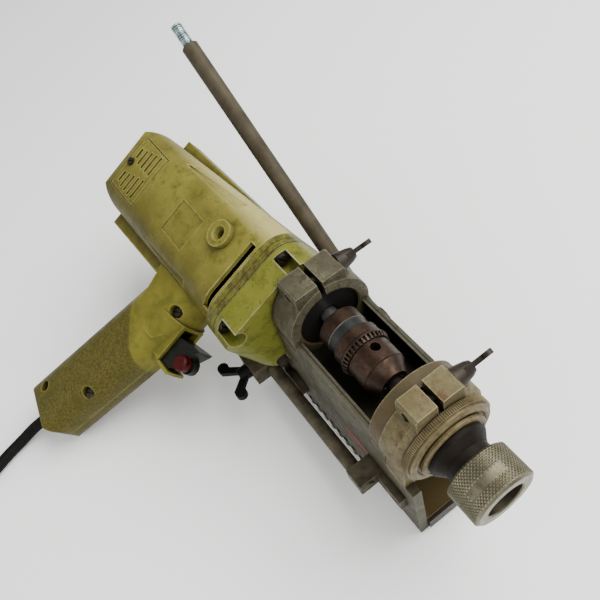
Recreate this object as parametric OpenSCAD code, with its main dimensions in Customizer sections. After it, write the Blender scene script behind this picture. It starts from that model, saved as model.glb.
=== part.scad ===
// An electric drill clamped in the lever-fed carrier of a drilling stand.
// Its chuck drives a bearing spindle with a collet nut; a rack and pinion feeds the carrier.
// Millimetres. +X runs along the drill axis to the nose, +Z is up and the base rests on z = 0.

/* [Carrier frame] */
// Length of the carrier along X
frame_length = 160; // [140:1:190]
// Half of the width over the two walls
frame_half_width = 29.5; // [28:0.5:34]
// Thickness of a side wall
wall = 6; // [4:0.5:7]
// Height of the drill axis over the base
axis_height = 102; // [98:0.5:110]
// Drop of the wall tops under the drill axis
wall_drop = 5; // [3:0.5:9]
// Drop of the low walls behind the rear clamp under the drill axis
rear_wall_drop = 56; // [54:0.5:58]
// Thickness of the webs between the walls
web = 3; // [2:0.5:5]
// Drop of the underside of the chuck window's floor under the drill axis
window_drop = 25; // [24:0.5:28]
// Number of half-round ribs along the lower edge
rib_count = 8; // [4:1:12]
// Distance between ribs
rib_pitch = 8.6; // [7:0.1:10]

/* [Clamps] */
// Radius of the nose collar that the rear clamp grips
collar_radius = 21.5; // [19:0.5:23]
// Outer radius of the rear clamp
rear_clamp_radius = 29.5; // [27:0.5:32]
// Width of the rear clamp along X
rear_clamp_width = 21.8; // [18:0.2:26]
// Top of the rear clamp's lugs over the drill axis
rear_lug_rise = 33; // [32:0.5:38]
// Half width of the rear lugs
rear_lug_half = 18.5; // [14:0.5:22]
// Radius of the sleeve that the front clamp grips
sleeve_radius = 24; // [22:0.5:25]
// Outer radius of the front clamp
front_clamp_radius = 30.6; // [30:0.2:33]
// Width of the front clamp along X
front_clamp_width = 25.8; // [22:0.2:30]
// Top of the front clamp's lugs over the drill axis
front_lug_rise = 37; // [34:0.5:42]
// Half width of the front lugs
front_lug_half = 15.7; // [12:0.1:20]
// Width of the front lugs along X
front_lug_width = 16; // [12:0.5:20]
// Half width of the clamp slots
slot_half = 1.8; // [1:0.1:3]
// Radius of a clamp screw's shank
clamp_screw_radius = 3; // [2.5:0.25:4]

/* [Feed] */
// Height of the pinion shaft over the base
pinion_height = 25.2; // [24.6:0.1:26]
// Distance of the pinion shaft from the middle of the frame, towards the rear
pinion_setback = 49.2; // [44:0.2:54]
// Module of rack and pinion
feed_module = 2; // [1.75:0.05:2.1]
// Teeth on the pinion
pinion_teeth = 12; // [12:1:12]
// Width of the pinion
pinion_width = 14; // [10:0.5:18]
// Radius of the pinion shaft
shaft_radius = 6; // [5:0.25:7]
// Length of the lever from the shaft to the end of its stud
lever_length = 260; // [200:1:320]
// Radius of the lever
lever_radius = 6.35; // [5:0.05:7]
// Rise of the lever over the horizontal at rest
lever_rise = 40.1; // [20:0.1:50]
// Distance of the lever's axis from the middle plane
lever_offset = 42; // [41.5:0.1:48]
// Radius of the threaded end
stud_radius = 4; // [3:0.5:5]
// Length of the threaded end
stud_length = 16.5; // [12:0.5:24]
// Length of the rack bar
rack_length = 156; // [154:1:160]

/* [Depth stop] */
// Radius of the stop rod
stop_rod_radius = 4.75; // [4:0.25:5]
// Length of the stop rod
stop_rod_length = 200; // [185:1:215]
// Drop of the stop rod under the drill axis
stop_drop = 60; // [59:0.1:60.5]
// Distance of the stop rod from the wall's face
stop_rod_offset = 12.2; // [11.5:0.1:13]
// Reach of the rear block from the wall's face
rear_block_reach = 26.5; // [22:0.5:30]
// Width of the rear block along X
rear_block_width = 22; // [16:0.5:24]
// Width of the front block along X
front_block_width = 14; // [10:0.5:18]
// Length of the front block's foot along the wall
foot_length = 22; // [18:0.5:26]

/* [Front spindle] */
// Outer radius of the knurled ring
knurled_ring_radius = 28.6; // [26:0.2:30]
// Width of the knurled ring
knurled_ring_width = 6.6; // [5:0.2:9]
// Radius of the sleeve's front neck
neck_radius = 19.6; // [18:0.2:21]
// Radius of the spindle's journal
journal_radius = 12; // [10:0.5:13]
// Radius of the bore in the bearing sleeve
sleeve_bore_radius = 15.5; // [14.5:0.5:17]
// Largest radius of the black hub
hub_radius = 18.5; // [16:0.5:19]
// Outer radius of the collet nut
nut_radius = 19.1; // [17:0.1:22]
// Length of the collet nut
nut_length = 21.8; // [18:0.2:26]
// Radius of the nut's mouth
nut_mouth_radius = 11.5; // [10.5:0.5:13]
// Radius of the collet's bore
collet_bore_radius = 6; // [4:0.5:7]

/* [Chuck] */
// Radius over the chuck's toothed ring
chuck_ring_radius = 17; // [16:0.5:18.5]
// Radius of the chuck's body
chuck_body_radius = 14.8; // [14:0.2:15.4]
// Teeth on the ring
chuck_teeth = 36; // [24:1:40]
// Radius of the key holes
key_hole_radius = 3.2; // [2.5:0.1:4]
// Radius of the shank in the jaws
shank_radius = 5; // [4:0.5:5.5]

/* [Drill] */
// Roll of the drill about its axis
drill_roll = 23.2; // [22.5:0.1:23.5]
// Half thickness of the housing
housing_half = 32.5; // [31:0.5:34]
// Rear end of the motor housing, from the frame's middle
housing_rear = 260; // [250:1:266]
// Height of the housing's top over the drill axis at its front
housing_top = 21.5; // [21:0.5:24]
// Depth of the housing's underside under the drill axis at its front
housing_low = 59; // [57:0.5:62]
// Fall of the housing's top towards the rear, in degrees
top_fall = 5.0; // [3:0.1:7]
// Fall of the housing's underside towards the rear, in degrees
low_fall = 1.6; // [0:0.1:3]
// Bow of the housing's rear end, as a radius
rear_bow = 75; // [70:1:90]
// Wall of the plastic shells
shell = 3.2; // [2.6:0.1:3.6]
// Distance of the motor axis under the drill axis
motor_drop = 21; // [21:0.5:21]
// Teeth on the motor pinion
motor_pinion_teeth = 8; // [8:1:8]
// Teeth on the spindle gear
spindle_gear_teeth = 34; // [34:1:34]
// Radius of the motor shaft
motor_shaft_radius = 4; // [3:0.25:4.5]

/* [Handle] */
// Lean of the handle
handle_lean = 11.83; // [8:0.1:14]
// Length of the handle under the housing
handle_length = 155; // [140:0.5:160]
// Depth of the handle behind its middle line
handle_back = 28.5; // [26:0.5:31]
// Depth of the handle before its middle line
handle_front = 24; // [23:0.5:27]
// Thickness of the handle
handle_thick = 41; // [40:0.5:44]
// Thickness of the trigger
trigger_thick = 14; // [12:0.5:15]
// Travel of the trigger
trigger_travel = 5; // [3:0.5:6]
// Radius of the lock button
lock_radius = 5.8; // [4.5:0.1:6]

/* [Cord] */
// Radius of the cord
cord_radius = 4.5; // [4:0.25:4.6]
// Radius of the grommet
grommet_radius = 5.6; // [5.2:0.1:6.5]
// Length of the grommet outside the handle
grommet_length = 10; // [8:0.5:12]
// Radius of the coil's outer turn
coil_radius = 66; // [60:1:80]
// Turns of the coil in each layer
layer_turns = 3; // [2:1:4]
// Distance between the coil's turns
coil_pitch = 10; // [9.8:0.1:12]

/* [Clearances] */
// Running gap of a shaft in its hole
running = 0.06; // [0.03:0.01:0.1]
// Gap between pieces that only lie beside each other
beside = 0.3; // [0.2:0.05:0.6]
// Gap of a clamped or seated piece
seat = 0.02; // [0.01:0.01:0.05]

/* [Hidden] */
$fn = 64;
inner_half = frame_half_width - wall;
wall_top = axis_height - wall_drop;
rear_wall_top = axis_height - rear_wall_drop;
window_floor = axis_height - window_drop;
stop_rod_height = axis_height - stop_drop;
clamp_seat = axis_height - 14;
front_seat = axis_height - front_clamp_radius - 0.9;
front_end = frame_length / 2;
rear_end = -frame_length / 2;
tunnel_floor = 19;
channel_top = tunnel_floor - web;
channel_low = 3;
lip_half = 14;
rear_clamp_back = rear_end + 30;
rear_clamp_front = rear_clamp_back + rear_clamp_width;
front_clamp_front = front_end - 6.6;
front_clamp_back = front_clamp_front - front_clamp_width;
front_lug_back = front_clamp_front - front_lug_width;
rear_screw_x = rear_clamp_back + rear_clamp_width / 2 - 0.5;
rear_screw_z = axis_height + collar_radius + clamp_screw_radius + 1.9;
front_screw_x = front_clamp_front - front_lug_width / 2 - 1;
front_screw_z = axis_height + sleeve_radius + clamp_screw_radius + 2;
pinion_x = -pinion_setback;
pitch_radius = feed_module * pinion_teeth / 2;
pinion_tip = pitch_radius + 0.85 * feed_module;
rack_pitch_line = pinion_height - pitch_radius;
rack_low = channel_low + beside;
rack_front = front_end + 2;
lever_hub_radius = 11;
lever_hub_end = lever_offset + lever_radius + 1.6;
stop_y = -frame_half_width - stop_rod_offset;
rear_block_front = -61;
front_block_back = 35;
stop_rod_front = front_block_back + front_block_width + 1;
stop_bolt_x = rear_block_front - rear_block_width / 2 + 0.5;
block_half_height = 8;
front_block_half = 6.2;
foot_thick = 5;
screw_head = 2.5;
ring_back = front_clamp_front + beside;
ring_front = ring_back + knurled_ring_width;
neck_front = ring_front + 2.4;
hub_back = neck_front + beside;
hub_front = hub_back + 13;
nut_back = hub_front + 0.5;
nut_front = nut_back + nut_length;
sleeve_back = front_clamp_back - 2;
ring_teeth_front = 9.3;
chuck_back = ring_teeth_front - 30.3;
chuck_nose = ring_teeth_front + 23.7;
housing_front = -81.5;
plate_front = -72;
gear_front = rear_clamp_back - 0.6;
corner = 20;
motor_y = -motor_drop;
rear_bearing = housing_front - 159.5;
motor_module = 2 * motor_drop / (motor_pinion_teeth + spindle_gear_teeth);
gear_back = -69;
gear_width = 9;
handle_root = 60;
handle_x = housing_front - 44.8;
root_front = handle_x + 18.3;
frame_front = handle_x + 20.3;
trigger_top = -80.5;
trigger_low = -108.5;
switch_half = 10.5;
lock_stem = 3;
grommet_back = 4.5;
coil_y = -338;
coil_low = cord_radius + 0.9;
coil_high = coil_low + 2 * cord_radius + 0.6;

// Places and profiles

module bar_x(x0, x1, r) {
    translate([x0, 0, axis_height]) rotate([0, 90, 0]) cylinder(h = x1 - x0, r = r);
}

module cone_x(x0, x1, r0, r1) {
    translate([x0, 0, axis_height]) rotate([0, 90, 0]) cylinder(h = x1 - x0, r1 = r0, r2 = r1);
}

module bar_y(x, z, y0, y1, r) {
    translate([x, y0, z]) rotate([-90, 0, 0]) cylinder(h = y1 - y0, r = r);
}

// Extrudes a section in Y and Z along X
module run_x(x0, x1) {
    translate([x0, 0, 0]) rotate([90, 0, 90]) linear_extrude(height = x1 - x0) children();
}

// Extrudes an outline in X and Z along Y
module run_y(y0, y1) {
    translate([0, y1, 0]) rotate([90, 0, 0]) linear_extrude(height = y1 - y0) children();
}

// Revolves a profile of radius and X about the drill axis
module turn_x() {
    translate([0, 0, axis_height]) rotate([0, 90, 0]) rotate_extrude() children();
}

module in_drill() {
    translate([0, 0, axis_height]) rotate([drill_roll, 0, 0]) children();
}

module rounded(x0, y0, x1, y1, r) {
    translate([x0 + r, y0]) square([x1 - x0 - 2 * r, y1 - y0]);
    translate([x0, y0 + r]) square([x1 - x0, y1 - y0 - 2 * r]);
    for (x = [x0 + r, x1 - r]) {
        for (y = [y0 + r, y1 - r]) {
            translate([x, y]) circle(r);
        }
    }
}

// Involute gear outline about the origin, with a tooth pointing along +Y
function involute(base, a) = [
    base * (cos(a) + a * PI / 180 * sin(a)),
    base * (sin(a) - a * PI / 180 * cos(a))
];
function turned(p, a) = [p[0] * cos(a) - p[1] * sin(a), p[0] * sin(a) + p[1] * cos(a)];
function roll_angle(base, r) = sqrt(max(0, pow(r / base, 2) - 1)) * 180 / PI;
function tooth_flank(m, n, tip, root, play) =
    let (
        pitch = m * n / 2,
        base = pitch * cos(20),
        low = max(base, root),
        at_pitch = involute(base, roll_angle(base, pitch)),
        half = 90 / n - play / pitch * 90 / PI - atan2(at_pitch[1], at_pitch[0]) * -1
    )
    [
        for (i = [0 : 3])
            let (p = involute(base, roll_angle(base, low + (tip - low) * i / 3)))
            turned([p[0], -p[1]], half)
    ];
function tooth(m, n, tip, root, play) =
    let (
        flank = tooth_flank(m, n, tip, root, play),
        foot = turned([root, 0], atan2(flank[0][1], flank[0][0]))
    )
    concat([[foot[0], -foot[1]]], [for (p = flank) [p[0], -p[1]]], [for (i = [3 : -1 : 0]) flank[i]], [foot]);
module gear_outline(m, n, tip, root, play) {
    one = tooth(m, n, tip, root, play);
    polygon([for (k = [0 : n - 1]) for (p = one) turned(p, 90 + 360 * k / n)]);
}

// Carrier

module frame_section() {
    difference() {
        polygon([
            [-frame_half_width, 0], [frame_half_width, 0],
            [frame_half_width, wall_top - 6], [frame_half_width - 1.5, wall_top],
            [-frame_half_width + 1.5, wall_top], [-frame_half_width, wall_top - 6]
        ]);
        rounded(-inner_half, tunnel_floor, inner_half, window_floor, 3);
        translate([-inner_half, window_floor + web]) square([2 * inner_half, wall_top]);
        translate([-inner_half, channel_low]) square([2 * inner_half, channel_top - channel_low]);
        translate([-lip_half, -1]) square([2 * lip_half, channel_low + 2]);
    }
}

module frame_outline() {
    difference() {
        polygon([
            [rear_end, 0], [front_end, 0], [front_end, axis_height - front_clamp_radius],
            [front_clamp_front, axis_height - front_clamp_radius],
            [front_clamp_front, wall_top + 1], [rear_clamp_back, wall_top + 1],
            [rear_clamp_back, rear_wall_top], [rear_end, rear_wall_top]
        ]);
        difference() {
            translate([rear_end - 1, rear_wall_top - 8]) square([9, 9]);
            translate([rear_end + 8, rear_wall_top - 8]) circle(8);
        }
    }
}

module clamp_lugs(x0, x1, half, rise) {
    run_x(x0, x1) translate([0, axis_height]) polygon([
        [-half, 0], [half, 0], [half, rise - 1.2], [half - 1.2, rise],
        [1.2 - half, rise], [-half, rise - 1.2]
    ]);
}

// Room that the rear clamp takes out of the frame, grown by a gap
module rear_clamp_room(gap) {
    translate([rear_clamp_back - gap, -60, clamp_seat - gap]) cube([rear_clamp_width + 2 * gap, 120, 80]);
    bar_x(rear_clamp_back - gap, rear_clamp_front + gap, rear_clamp_radius + gap);
}

module front_clamp_room(gap) {
    translate([front_clamp_back - gap, -60, clamp_seat - gap]) cube([front_clamp_width + 2 * gap, 120, 80]);
    translate([front_lug_back - gap, -60, front_seat - gap]) cube([front_lug_width + 2 * gap, 120, 80]);
    bar_x(front_clamp_back - gap, front_clamp_front + gap, front_clamp_radius - 0.9 + gap);
}

module carrier_frame() {
    color([0.42, 0.41, 0.38])
    difference() {
        union() {
            intersection() {
                run_x(rear_end, front_end) frame_section();
                run_y(-frame_half_width - 1, frame_half_width + 1) frame_outline();
            }
            translate([-15, -lip_half - 1, 0]) cube([30, 2 * lip_half + 2, channel_low]);
            for (i = [0 : rib_count - 1]) {
                translate([-41.5 + rib_pitch * i, 2.6 - frame_half_width, 0]) cylinder(h = 9, r = 3.6);
            }
        }
        rear_clamp_room(seat);
        front_clamp_room(seat);
        bar_x(sleeve_back - 1, front_clamp_front, sleeve_radius + beside);
        run_y(inner_half - 1, frame_half_width + 1) polygon([
            [front_clamp_front, front_seat - 1], [front_end + 1, front_seat - 44],
            [front_end + 1, axis_height], [front_clamp_front, axis_height]
        ]);
        bar_y(pinion_x, pinion_height, -40, 40, shaft_radius + running);
        translate([pinion_x - pinion_tip - 1, -pinion_width / 2 - 1, channel_low + 5])
            cube([2 * pinion_tip + 2, pinion_width + 2, tunnel_floor - channel_low]);
        for (p = block_screw_places()) {
            bar_y(p[0], p[1], -frame_half_width - 1, -inner_half + 1, 2.5 + seat);
        }
    }
}

module rear_clamp() {
    color([0.36, 0.34, 0.29])
    difference() {
        union() {
            intersection() {
                run_x(rear_clamp_back, rear_clamp_front) frame_section();
                translate([rear_clamp_back, -60, clamp_seat]) cube([rear_clamp_width, 120, 80]);
            }
            bar_x(rear_clamp_back, rear_clamp_front, rear_clamp_radius);
            clamp_lugs(rear_clamp_back + 0.6, rear_clamp_front - 1.6, rear_lug_half, rear_lug_rise);
        }
        bar_x(rear_clamp_back - 1, rear_clamp_front + 1, collar_radius + seat);
        cone_x(rear_clamp_front - 1.2, rear_clamp_front + 0.1, collar_radius, collar_radius + 1.3);
        translate([rear_clamp_back - 1, -slot_half, axis_height])
            cube([rear_clamp_width + 2, 2 * slot_half, rear_lug_rise + 1]);
        bar_y(rear_screw_x, rear_screw_z, -40, 40, clamp_screw_radius + running);
        bar_y(rear_screw_x, rear_screw_z, rear_lug_half, 50, 7.6);
    }
}

module front_clamp() {
    color([0.55, 0.5, 0.4])
    difference() {
        union() {
            intersection() {
                run_x(front_clamp_back, front_lug_back + 1) frame_section();
                translate([front_clamp_back, -60, clamp_seat]) cube([front_clamp_width, 120, 80]);
            }
            bar_x(front_clamp_back, front_lug_back + 1, front_clamp_radius - 0.9);
            bar_x(front_lug_back, front_clamp_front - 4, front_clamp_radius);
            cone_x(front_clamp_front - 4.01, front_clamp_front, front_clamp_radius, front_clamp_radius - 3);
            clamp_lugs(front_lug_back, front_clamp_front, front_lug_half, front_lug_rise);
            run_x(front_lug_back, front_clamp_front) polygon([
                [3 - front_clamp_radius, axis_height], [-frame_half_width - 0.3, front_seat],
                [frame_half_width + 0.3, front_seat], [front_clamp_radius - 3, axis_height]
            ]);
        }
        bar_x(sleeve_back - 1, front_clamp_front + 1, sleeve_radius + seat);
        translate([front_lug_back - 0.5, -slot_half, axis_height])
            cube([front_lug_width + 2, 2 * slot_half, front_lug_rise + 1]);
        bar_y(front_screw_x, front_screw_z, -40, 40, clamp_screw_radius + running);
        bar_y(front_screw_x, front_screw_z, front_lug_half, 50, 7.6);
    }
}

function block_screw_places() = [
    [front_block_back + front_block_width + 6, stop_rod_height],
    [front_block_back + front_block_width + foot_length - 5, stop_rod_height],
    [rear_block_front - 4, rear_wall_top - 22], [rear_block_front - rear_block_width + 7, rear_wall_top - 22]
];

// Clamp screws

module wing(base, reach, spread, tip, thick) {
    for (s = [-1, 1]) {
        difference() {
            translate([0, 0, -thick / 2]) linear_extrude(height = thick) union() {
                polygon([
                    [0, base], [s * 4.5, base], [s * (spread - 0.8 * tip), reach - tip],
                    [s * (spread - tip * 0.2), reach - 0.6 * tip],
                    [s * (spread - 1.7 * tip), reach - 0.1 * tip],
                    [s * 2.5, base + 5], [0, base + 5]
                ]);
                translate([s * (spread - tip), reach - tip]) circle(tip);
            }
            rotate([-90, 0, 0]) cylinder(h = reach + 5, r = 2);
        }
    }
}

// A wing screw along +Y: the shank fills the lugs, the hub bears on the outer lug
module clamp_wing_screw(face, shank_end, turn) {
    rotate([0, turn, 0]) {
        translate([0, -shank_end, 0]) rotate([-90, 0, 0])
            cylinder(h = shank_end + face + 1, r = clamp_screw_radius);
        translate([0, face + beside, 0]) rotate([-90, 0, 0]) cylinder(h = 10, r1 = 6.8, r2 = 4.6);
        translate([0, face + beside + 9.9, 0]) rotate([-90, 0, 0]) cylinder(h = 2.5, r1 = 4.6, r2 = 3.6);
        wing(face + beside + 4, face + 22.5, 13.5, 3.2, 3);
    }
}

module rear_wing_screw() {
    color([0.13, 0.12, 0.11])
    translate([rear_screw_x, 0, rear_screw_z]) clamp_wing_screw(rear_lug_half, rear_lug_half - 1.5, -53.6);
}

module front_wing_screw() {
    color([0.15, 0.13, 0.11])
    translate([front_screw_x, 0, front_screw_z])
        clamp_wing_screw(front_lug_half, front_lug_half - 1.5, -68.7);
}

// Depth stop

// Holes and sunk seats of the screws in the feet of the stop blocks
module foot_screw_holes() {
    for (p = block_screw_places()) {
        bar_y(p[0], p[1], -frame_half_width - foot_thick - 1, -frame_half_width + 1, 2.5 + seat);
        face = -frame_half_width - foot_thick;
        bar_y(p[0], p[1], face - 1, face + screw_head + 0.2, 4 + seat);
    }
}

module rear_stop_block() {
    foot_low = rear_wall_top - 32;
    color([0.2, 0.16, 0.13])
    difference() {
        union() {
            translate([rear_block_front - rear_block_width, -frame_half_width - rear_block_reach,
                stop_rod_height])
                translate([0, 0, -block_half_height])
                cube([rear_block_width, rear_block_reach, 2 * block_half_height]);
            translate([rear_block_front - rear_block_width + 3, -frame_half_width - foot_thick, foot_low])
                cube([rear_block_width - 3, foot_thick, stop_rod_height - foot_low]);
        }
        translate([rear_block_front - rear_block_width - 1, stop_y, stop_rod_height]) rotate([0, 90, 0])
            cylinder(h = rear_block_width + 2, r = stop_rod_radius + running);
        bar_y(stop_bolt_x, stop_rod_height, -frame_half_width - rear_block_reach - 1, stop_y, 3 + running);
        foot_screw_holes();
    }
}

module front_stop_block() {
    reach = stop_rod_offset + stop_rod_radius + 0.8;
    color([0.18, 0.15, 0.13])
    difference() {
        union() {
            translate([front_block_back, -frame_half_width - reach, stop_rod_height - front_block_half])
                cube([front_block_width, reach, 2 * front_block_half]);
            translate([front_block_back, -frame_half_width - foot_thick, stop_rod_height - front_block_half])
                cube([front_block_width + foot_length, foot_thick, 2 * front_block_half]);
        }
        translate([front_block_back - 1, stop_y, stop_rod_height]) rotate([0, 90, 0])
            cylinder(h = front_block_width + 2, r = stop_rod_radius + running);
        foot_screw_holes();
    }
}

module block_screws() {
    face = -frame_half_width - foot_thick;
    color([0.2, 0.19, 0.18])
    for (p = block_screw_places()) {
        bar_y(p[0], p[1], face + 1, -inner_half - 0.5, 2.5);
        bar_y(p[0], p[1], face + 0.1, face + screw_head, 4);
    }
}

module stop_rod() {
    color([0.22, 0.2, 0.17])
    translate([stop_rod_front - stop_rod_length, stop_y, stop_rod_height]) rotate([0, 90, 0]) union() {
        cylinder(h = 1, r1 = stop_rod_radius - 1, r2 = stop_rod_radius);
        translate([0, 0, 1]) cylinder(h = stop_rod_length - 2, r = stop_rod_radius);
        translate([0, 0, stop_rod_length - 1])
            cylinder(h = 1, r1 = stop_rod_radius, r2 = stop_rod_radius - 1);
    }
}

module stop_wing_bolt() {
    depth = rear_block_reach - stop_rod_offset - stop_rod_radius - beside;
    color([0.06, 0.06, 0.06])
    translate([stop_bolt_x, -frame_half_width - rear_block_reach, stop_rod_height]) mirror([0, 1, 0]) {
        translate([0, -depth, 0]) rotate([-90, 0, 0]) cylinder(h = depth + 2, r = 3);
        translate([0, beside, 0]) rotate([-90, 0, 0]) cylinder(h = 8, r1 = 5.6, r2 = 5);
        wing(beside + 3, 18.4, 17, 4.2, 4.4);
    }
}

// Feed

module at_lever() {
    translate([pinion_x, lever_offset, pinion_height]) rotate([0, lever_rise - 90, 0]) children();
}

module lever_rod() {
    shoulder = lever_length - stud_length;
    color([0.3, 0.29, 0.27])
    at_lever() difference() {
        union() {
            translate([0, 0, lever_hub_radius - 4])
                cylinder(h = shoulder - lever_hub_radius + 3, r = lever_radius);
            translate([0, 0, shoulder - 1]) cylinder(h = 1, r1 = lever_radius, r2 = lever_radius - 1);
        }
        translate([0, 0, shoulder - 14]) cylinder(h = 20, r = stud_radius - 0.5 + seat);
    }
}

module lever_stud() {
    shoulder = lever_length - stud_length;
    color([0.75, 0.77, 0.8])
    at_lever() {
        translate([0, 0, shoulder - 13.5]) cylinder(h = 14, r = stud_radius - 0.5);
        translate([0, 0, shoulder + seat]) cylinder(h = stud_length - 0.8 - seat, r = stud_radius);
        translate([0, 0, lever_length - 0.8]) cylinder(h = 0.8, r1 = stud_radius, r2 = stud_radius - 0.8);
    }
}

module lever_hub() {
    color([0.22, 0.21, 0.2])
    difference() {
        union() {
            bar_y(pinion_x, pinion_height, frame_half_width + beside, lever_hub_end - 1.6, lever_hub_radius);
            bar_y(pinion_x, pinion_height, lever_hub_end - 1.7, lever_hub_end, lever_hub_radius - 1.6);
        }
        bar_y(pinion_x, pinion_height, frame_half_width - 1, lever_hub_end - 2, shaft_radius + seat);
        at_lever() translate([0, 0, lever_hub_radius - 4.1]) cylinder(h = 20, r = lever_radius + seat);
    }
}

module pinion_shaft() {
    color([0.35, 0.34, 0.33])
    bar_y(pinion_x, pinion_height, -frame_half_width - 4, lever_hub_end - 2.5, shaft_radius);
}

module feed_pinion() {
    color([0.4, 0.38, 0.36])
    difference() {
        translate([pinion_x, pinion_width / 2, pinion_height]) rotate([90, 0, 0])
            linear_extrude(height = pinion_width) rotate([0, 0, 180])
            gear_outline(feed_module, pinion_teeth, pinion_tip, pitch_radius - 1.2 * feed_module, 0.25);
        bar_y(pinion_x, pinion_height, -40, 40, shaft_radius + seat);
    }
}

module shaft_cap() {
    color([0.36, 0.34, 0.31])
    difference() {
        union() {
            bar_y(pinion_x, pinion_height, -frame_half_width - 5.6, -frame_half_width - beside, 10);
            translate([pinion_x, -frame_half_width - 5.6, pinion_height]) rotate([90, 0, 0])
                cylinder(h = 1.4, r1 = 10, r2 = 7.4);
        }
        bar_y(pinion_x, pinion_height, -frame_half_width - 4 - seat, 0, shaft_radius + seat);
    }
}

module rack_outline() {
    tooth_pitch = PI * feed_module;
    flat = tooth_pitch / 4 - 0.2;
    top = rack_pitch_line + 0.85 * feed_module;
    root = rack_pitch_line - 1.15 * feed_module;
    lean_up = 0.85 * feed_module * tan(20);
    lean_down = 1.15 * feed_module * tan(20);
    polygon(concat(
        [
            [rack_front - rack_length, rack_low], [rack_front, rack_low], [rack_front, top],
            [pinion_x + 8.5 * tooth_pitch, top]
        ],
        [
            for (k = [7 : -1 : -4])
                for (p = [
                    [flat + lean_down, root], [flat - lean_up, top],
                    [lean_up - flat, top], [-flat - lean_down, root]
                ])
                    [pinion_x + (k + 0.5) * tooth_pitch + p[0], p[1]]
        ],
        [[rack_front - rack_length, root]]
    ));
}

module rack_bar() {
    color([0.16, 0.15, 0.15])
    run_y(beside - inner_half, inner_half - beside) rack_outline();
}

// Front bearing and spindle

module bearing_sleeve() {
    color([0.45, 0.43, 0.36])
    difference() {
        union() {
            bar_x(sleeve_back, front_clamp_front, sleeve_radius);
            bar_x(front_clamp_front - 1, neck_front - 0.4, neck_radius);
        }
        bar_x(sleeve_back + 6, neck_front + 1, sleeve_bore_radius);
        bar_x(sleeve_back - 1, sleeve_back + 7, journal_radius - 1.5);
    }
}

module bush(x0, x1) {
    difference() {
        bar_x(x0, x1, sleeve_bore_radius - seat);
        bar_x(x0 - 1, x1 + 1, journal_radius + running);
    }
}

module front_bush() {
    color([0.6, 0.47, 0.2])
    bush(ring_back - 2, neck_front - 0.5);
}

module rear_bush() {
    color([0.6, 0.47, 0.2])
    bush(sleeve_back + 6 + seat, sleeve_back + 16);
}

module knurled_ring() {
    color([0.48, 0.45, 0.36])
    difference() {
        union() {
            bar_x(ring_back, ring_back + 4, knurled_ring_radius);
            bar_x(ring_back + 3.9, ring_front - 1, knurled_ring_radius - 1.2);
            cone_x(ring_front - 1.01, ring_front, knurled_ring_radius - 2, knurled_ring_radius - 3.4);
        }
        bar_x(ring_back - 1, ring_front + 1, neck_radius + running);
        cone_x(ring_front - 1.2, ring_front + 0.1, neck_radius + 3, neck_radius + 4.4);
    }
}

module retaining_ring() {
    color([0.5, 0.47, 0.4])
    difference() {
        union() {
            bar_x(ring_front + beside / 2, neck_front - 0.8, neck_radius + 2.2);
            cone_x(neck_front - 0.81, neck_front, neck_radius + 2.2, neck_radius + 1.4);
        }
        bar_x(ring_front - 1, neck_front + 1, neck_radius + seat);
    }
}

module drive_spindle() {
    color([0.12, 0.1, 0.09])
    union() {
        bar_x(ring_teeth_front + 2, sleeve_back + 8, shank_radius);
        bar_x(sleeve_back + 7, hub_back + 0.1, journal_radius);
        bar_x(hub_back, hub_back + 2.5, hub_radius);
        cone_x(hub_back + 2.49, hub_back + 8, hub_radius, hub_radius - 4.6);
        bar_x(hub_back + 7.9, hub_front, hub_radius - 4.6);
        difference() {
            bar_x(hub_front - 0.1, hub_front + 7, journal_radius);
            bar_x(hub_front + 1, hub_front + 8, collet_bore_radius + 3 + seat);
        }
    }
}

module collet() {
    color([0.5, 0.48, 0.45])
    difference() {
        union() {
            bar_x(hub_front + 1.1, hub_front + 8, collet_bore_radius + 3);
            cone_x(hub_front + 7.9, nut_front - 4, collet_bore_radius + 4.4, collet_bore_radius + 3.2);
        }
        bar_x(hub_front, nut_front, collet_bore_radius);
        for (a = [0 : 3]) {
            translate([hub_front + 5, 0, axis_height]) rotate([45 * a, 0, 0])
                translate([0, -0.5, -20]) cube([nut_length, 1, 40]);
        }
    }
}

module collet_nut() {
    color([0.52, 0.5, 0.46])
    difference() {
        union() {
            cone_x(nut_back, nut_back + 1.4, nut_radius - 1.4, nut_radius);
            bar_x(nut_back + 1.39, nut_front - 1.4, nut_radius);
            cone_x(nut_front - 1.41, nut_front, nut_radius, nut_radius - 1.4);
        }
        bar_x(nut_back - 1, nut_back + 8, journal_radius + running);
        bar_x(nut_back + 7.9, nut_front + 1, nut_mouth_radius);
        cone_x(nut_front - 0.8, nut_front + 0.1, nut_mouth_radius - 0.01, nut_mouth_radius + 0.9);
    }
}

// Chuck

jaw_tilt = 12;
jaw_radius = 2.4;
jaw_tip = chuck_nose - 2;

module at_jaw(k) {
    translate([0, 0, axis_height]) rotate([120 * k + 60, 0, 0])
        translate([jaw_tip, 0, shank_radius + jaw_radius * 0.9]) rotate([0, -90 + jaw_tilt, 0]) children();
}

module jaw(k) {
    difference() {
        at_jaw(k) translate([0, 0, -8]) cylinder(h = 24, r = jaw_radius);
        bar_x(chuck_back, chuck_nose + 20, shank_radius + seat);
        bar_x(jaw_tip, chuck_nose + 20, 20);
    }
}

module jaw_one() {
    color([0.3, 0.28, 0.26]) jaw(0);
}

module jaw_two() {
    color([0.3, 0.28, 0.26]) jaw(1);
}

module jaw_three() {
    color([0.3, 0.28, 0.26]) jaw(2);
}

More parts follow.
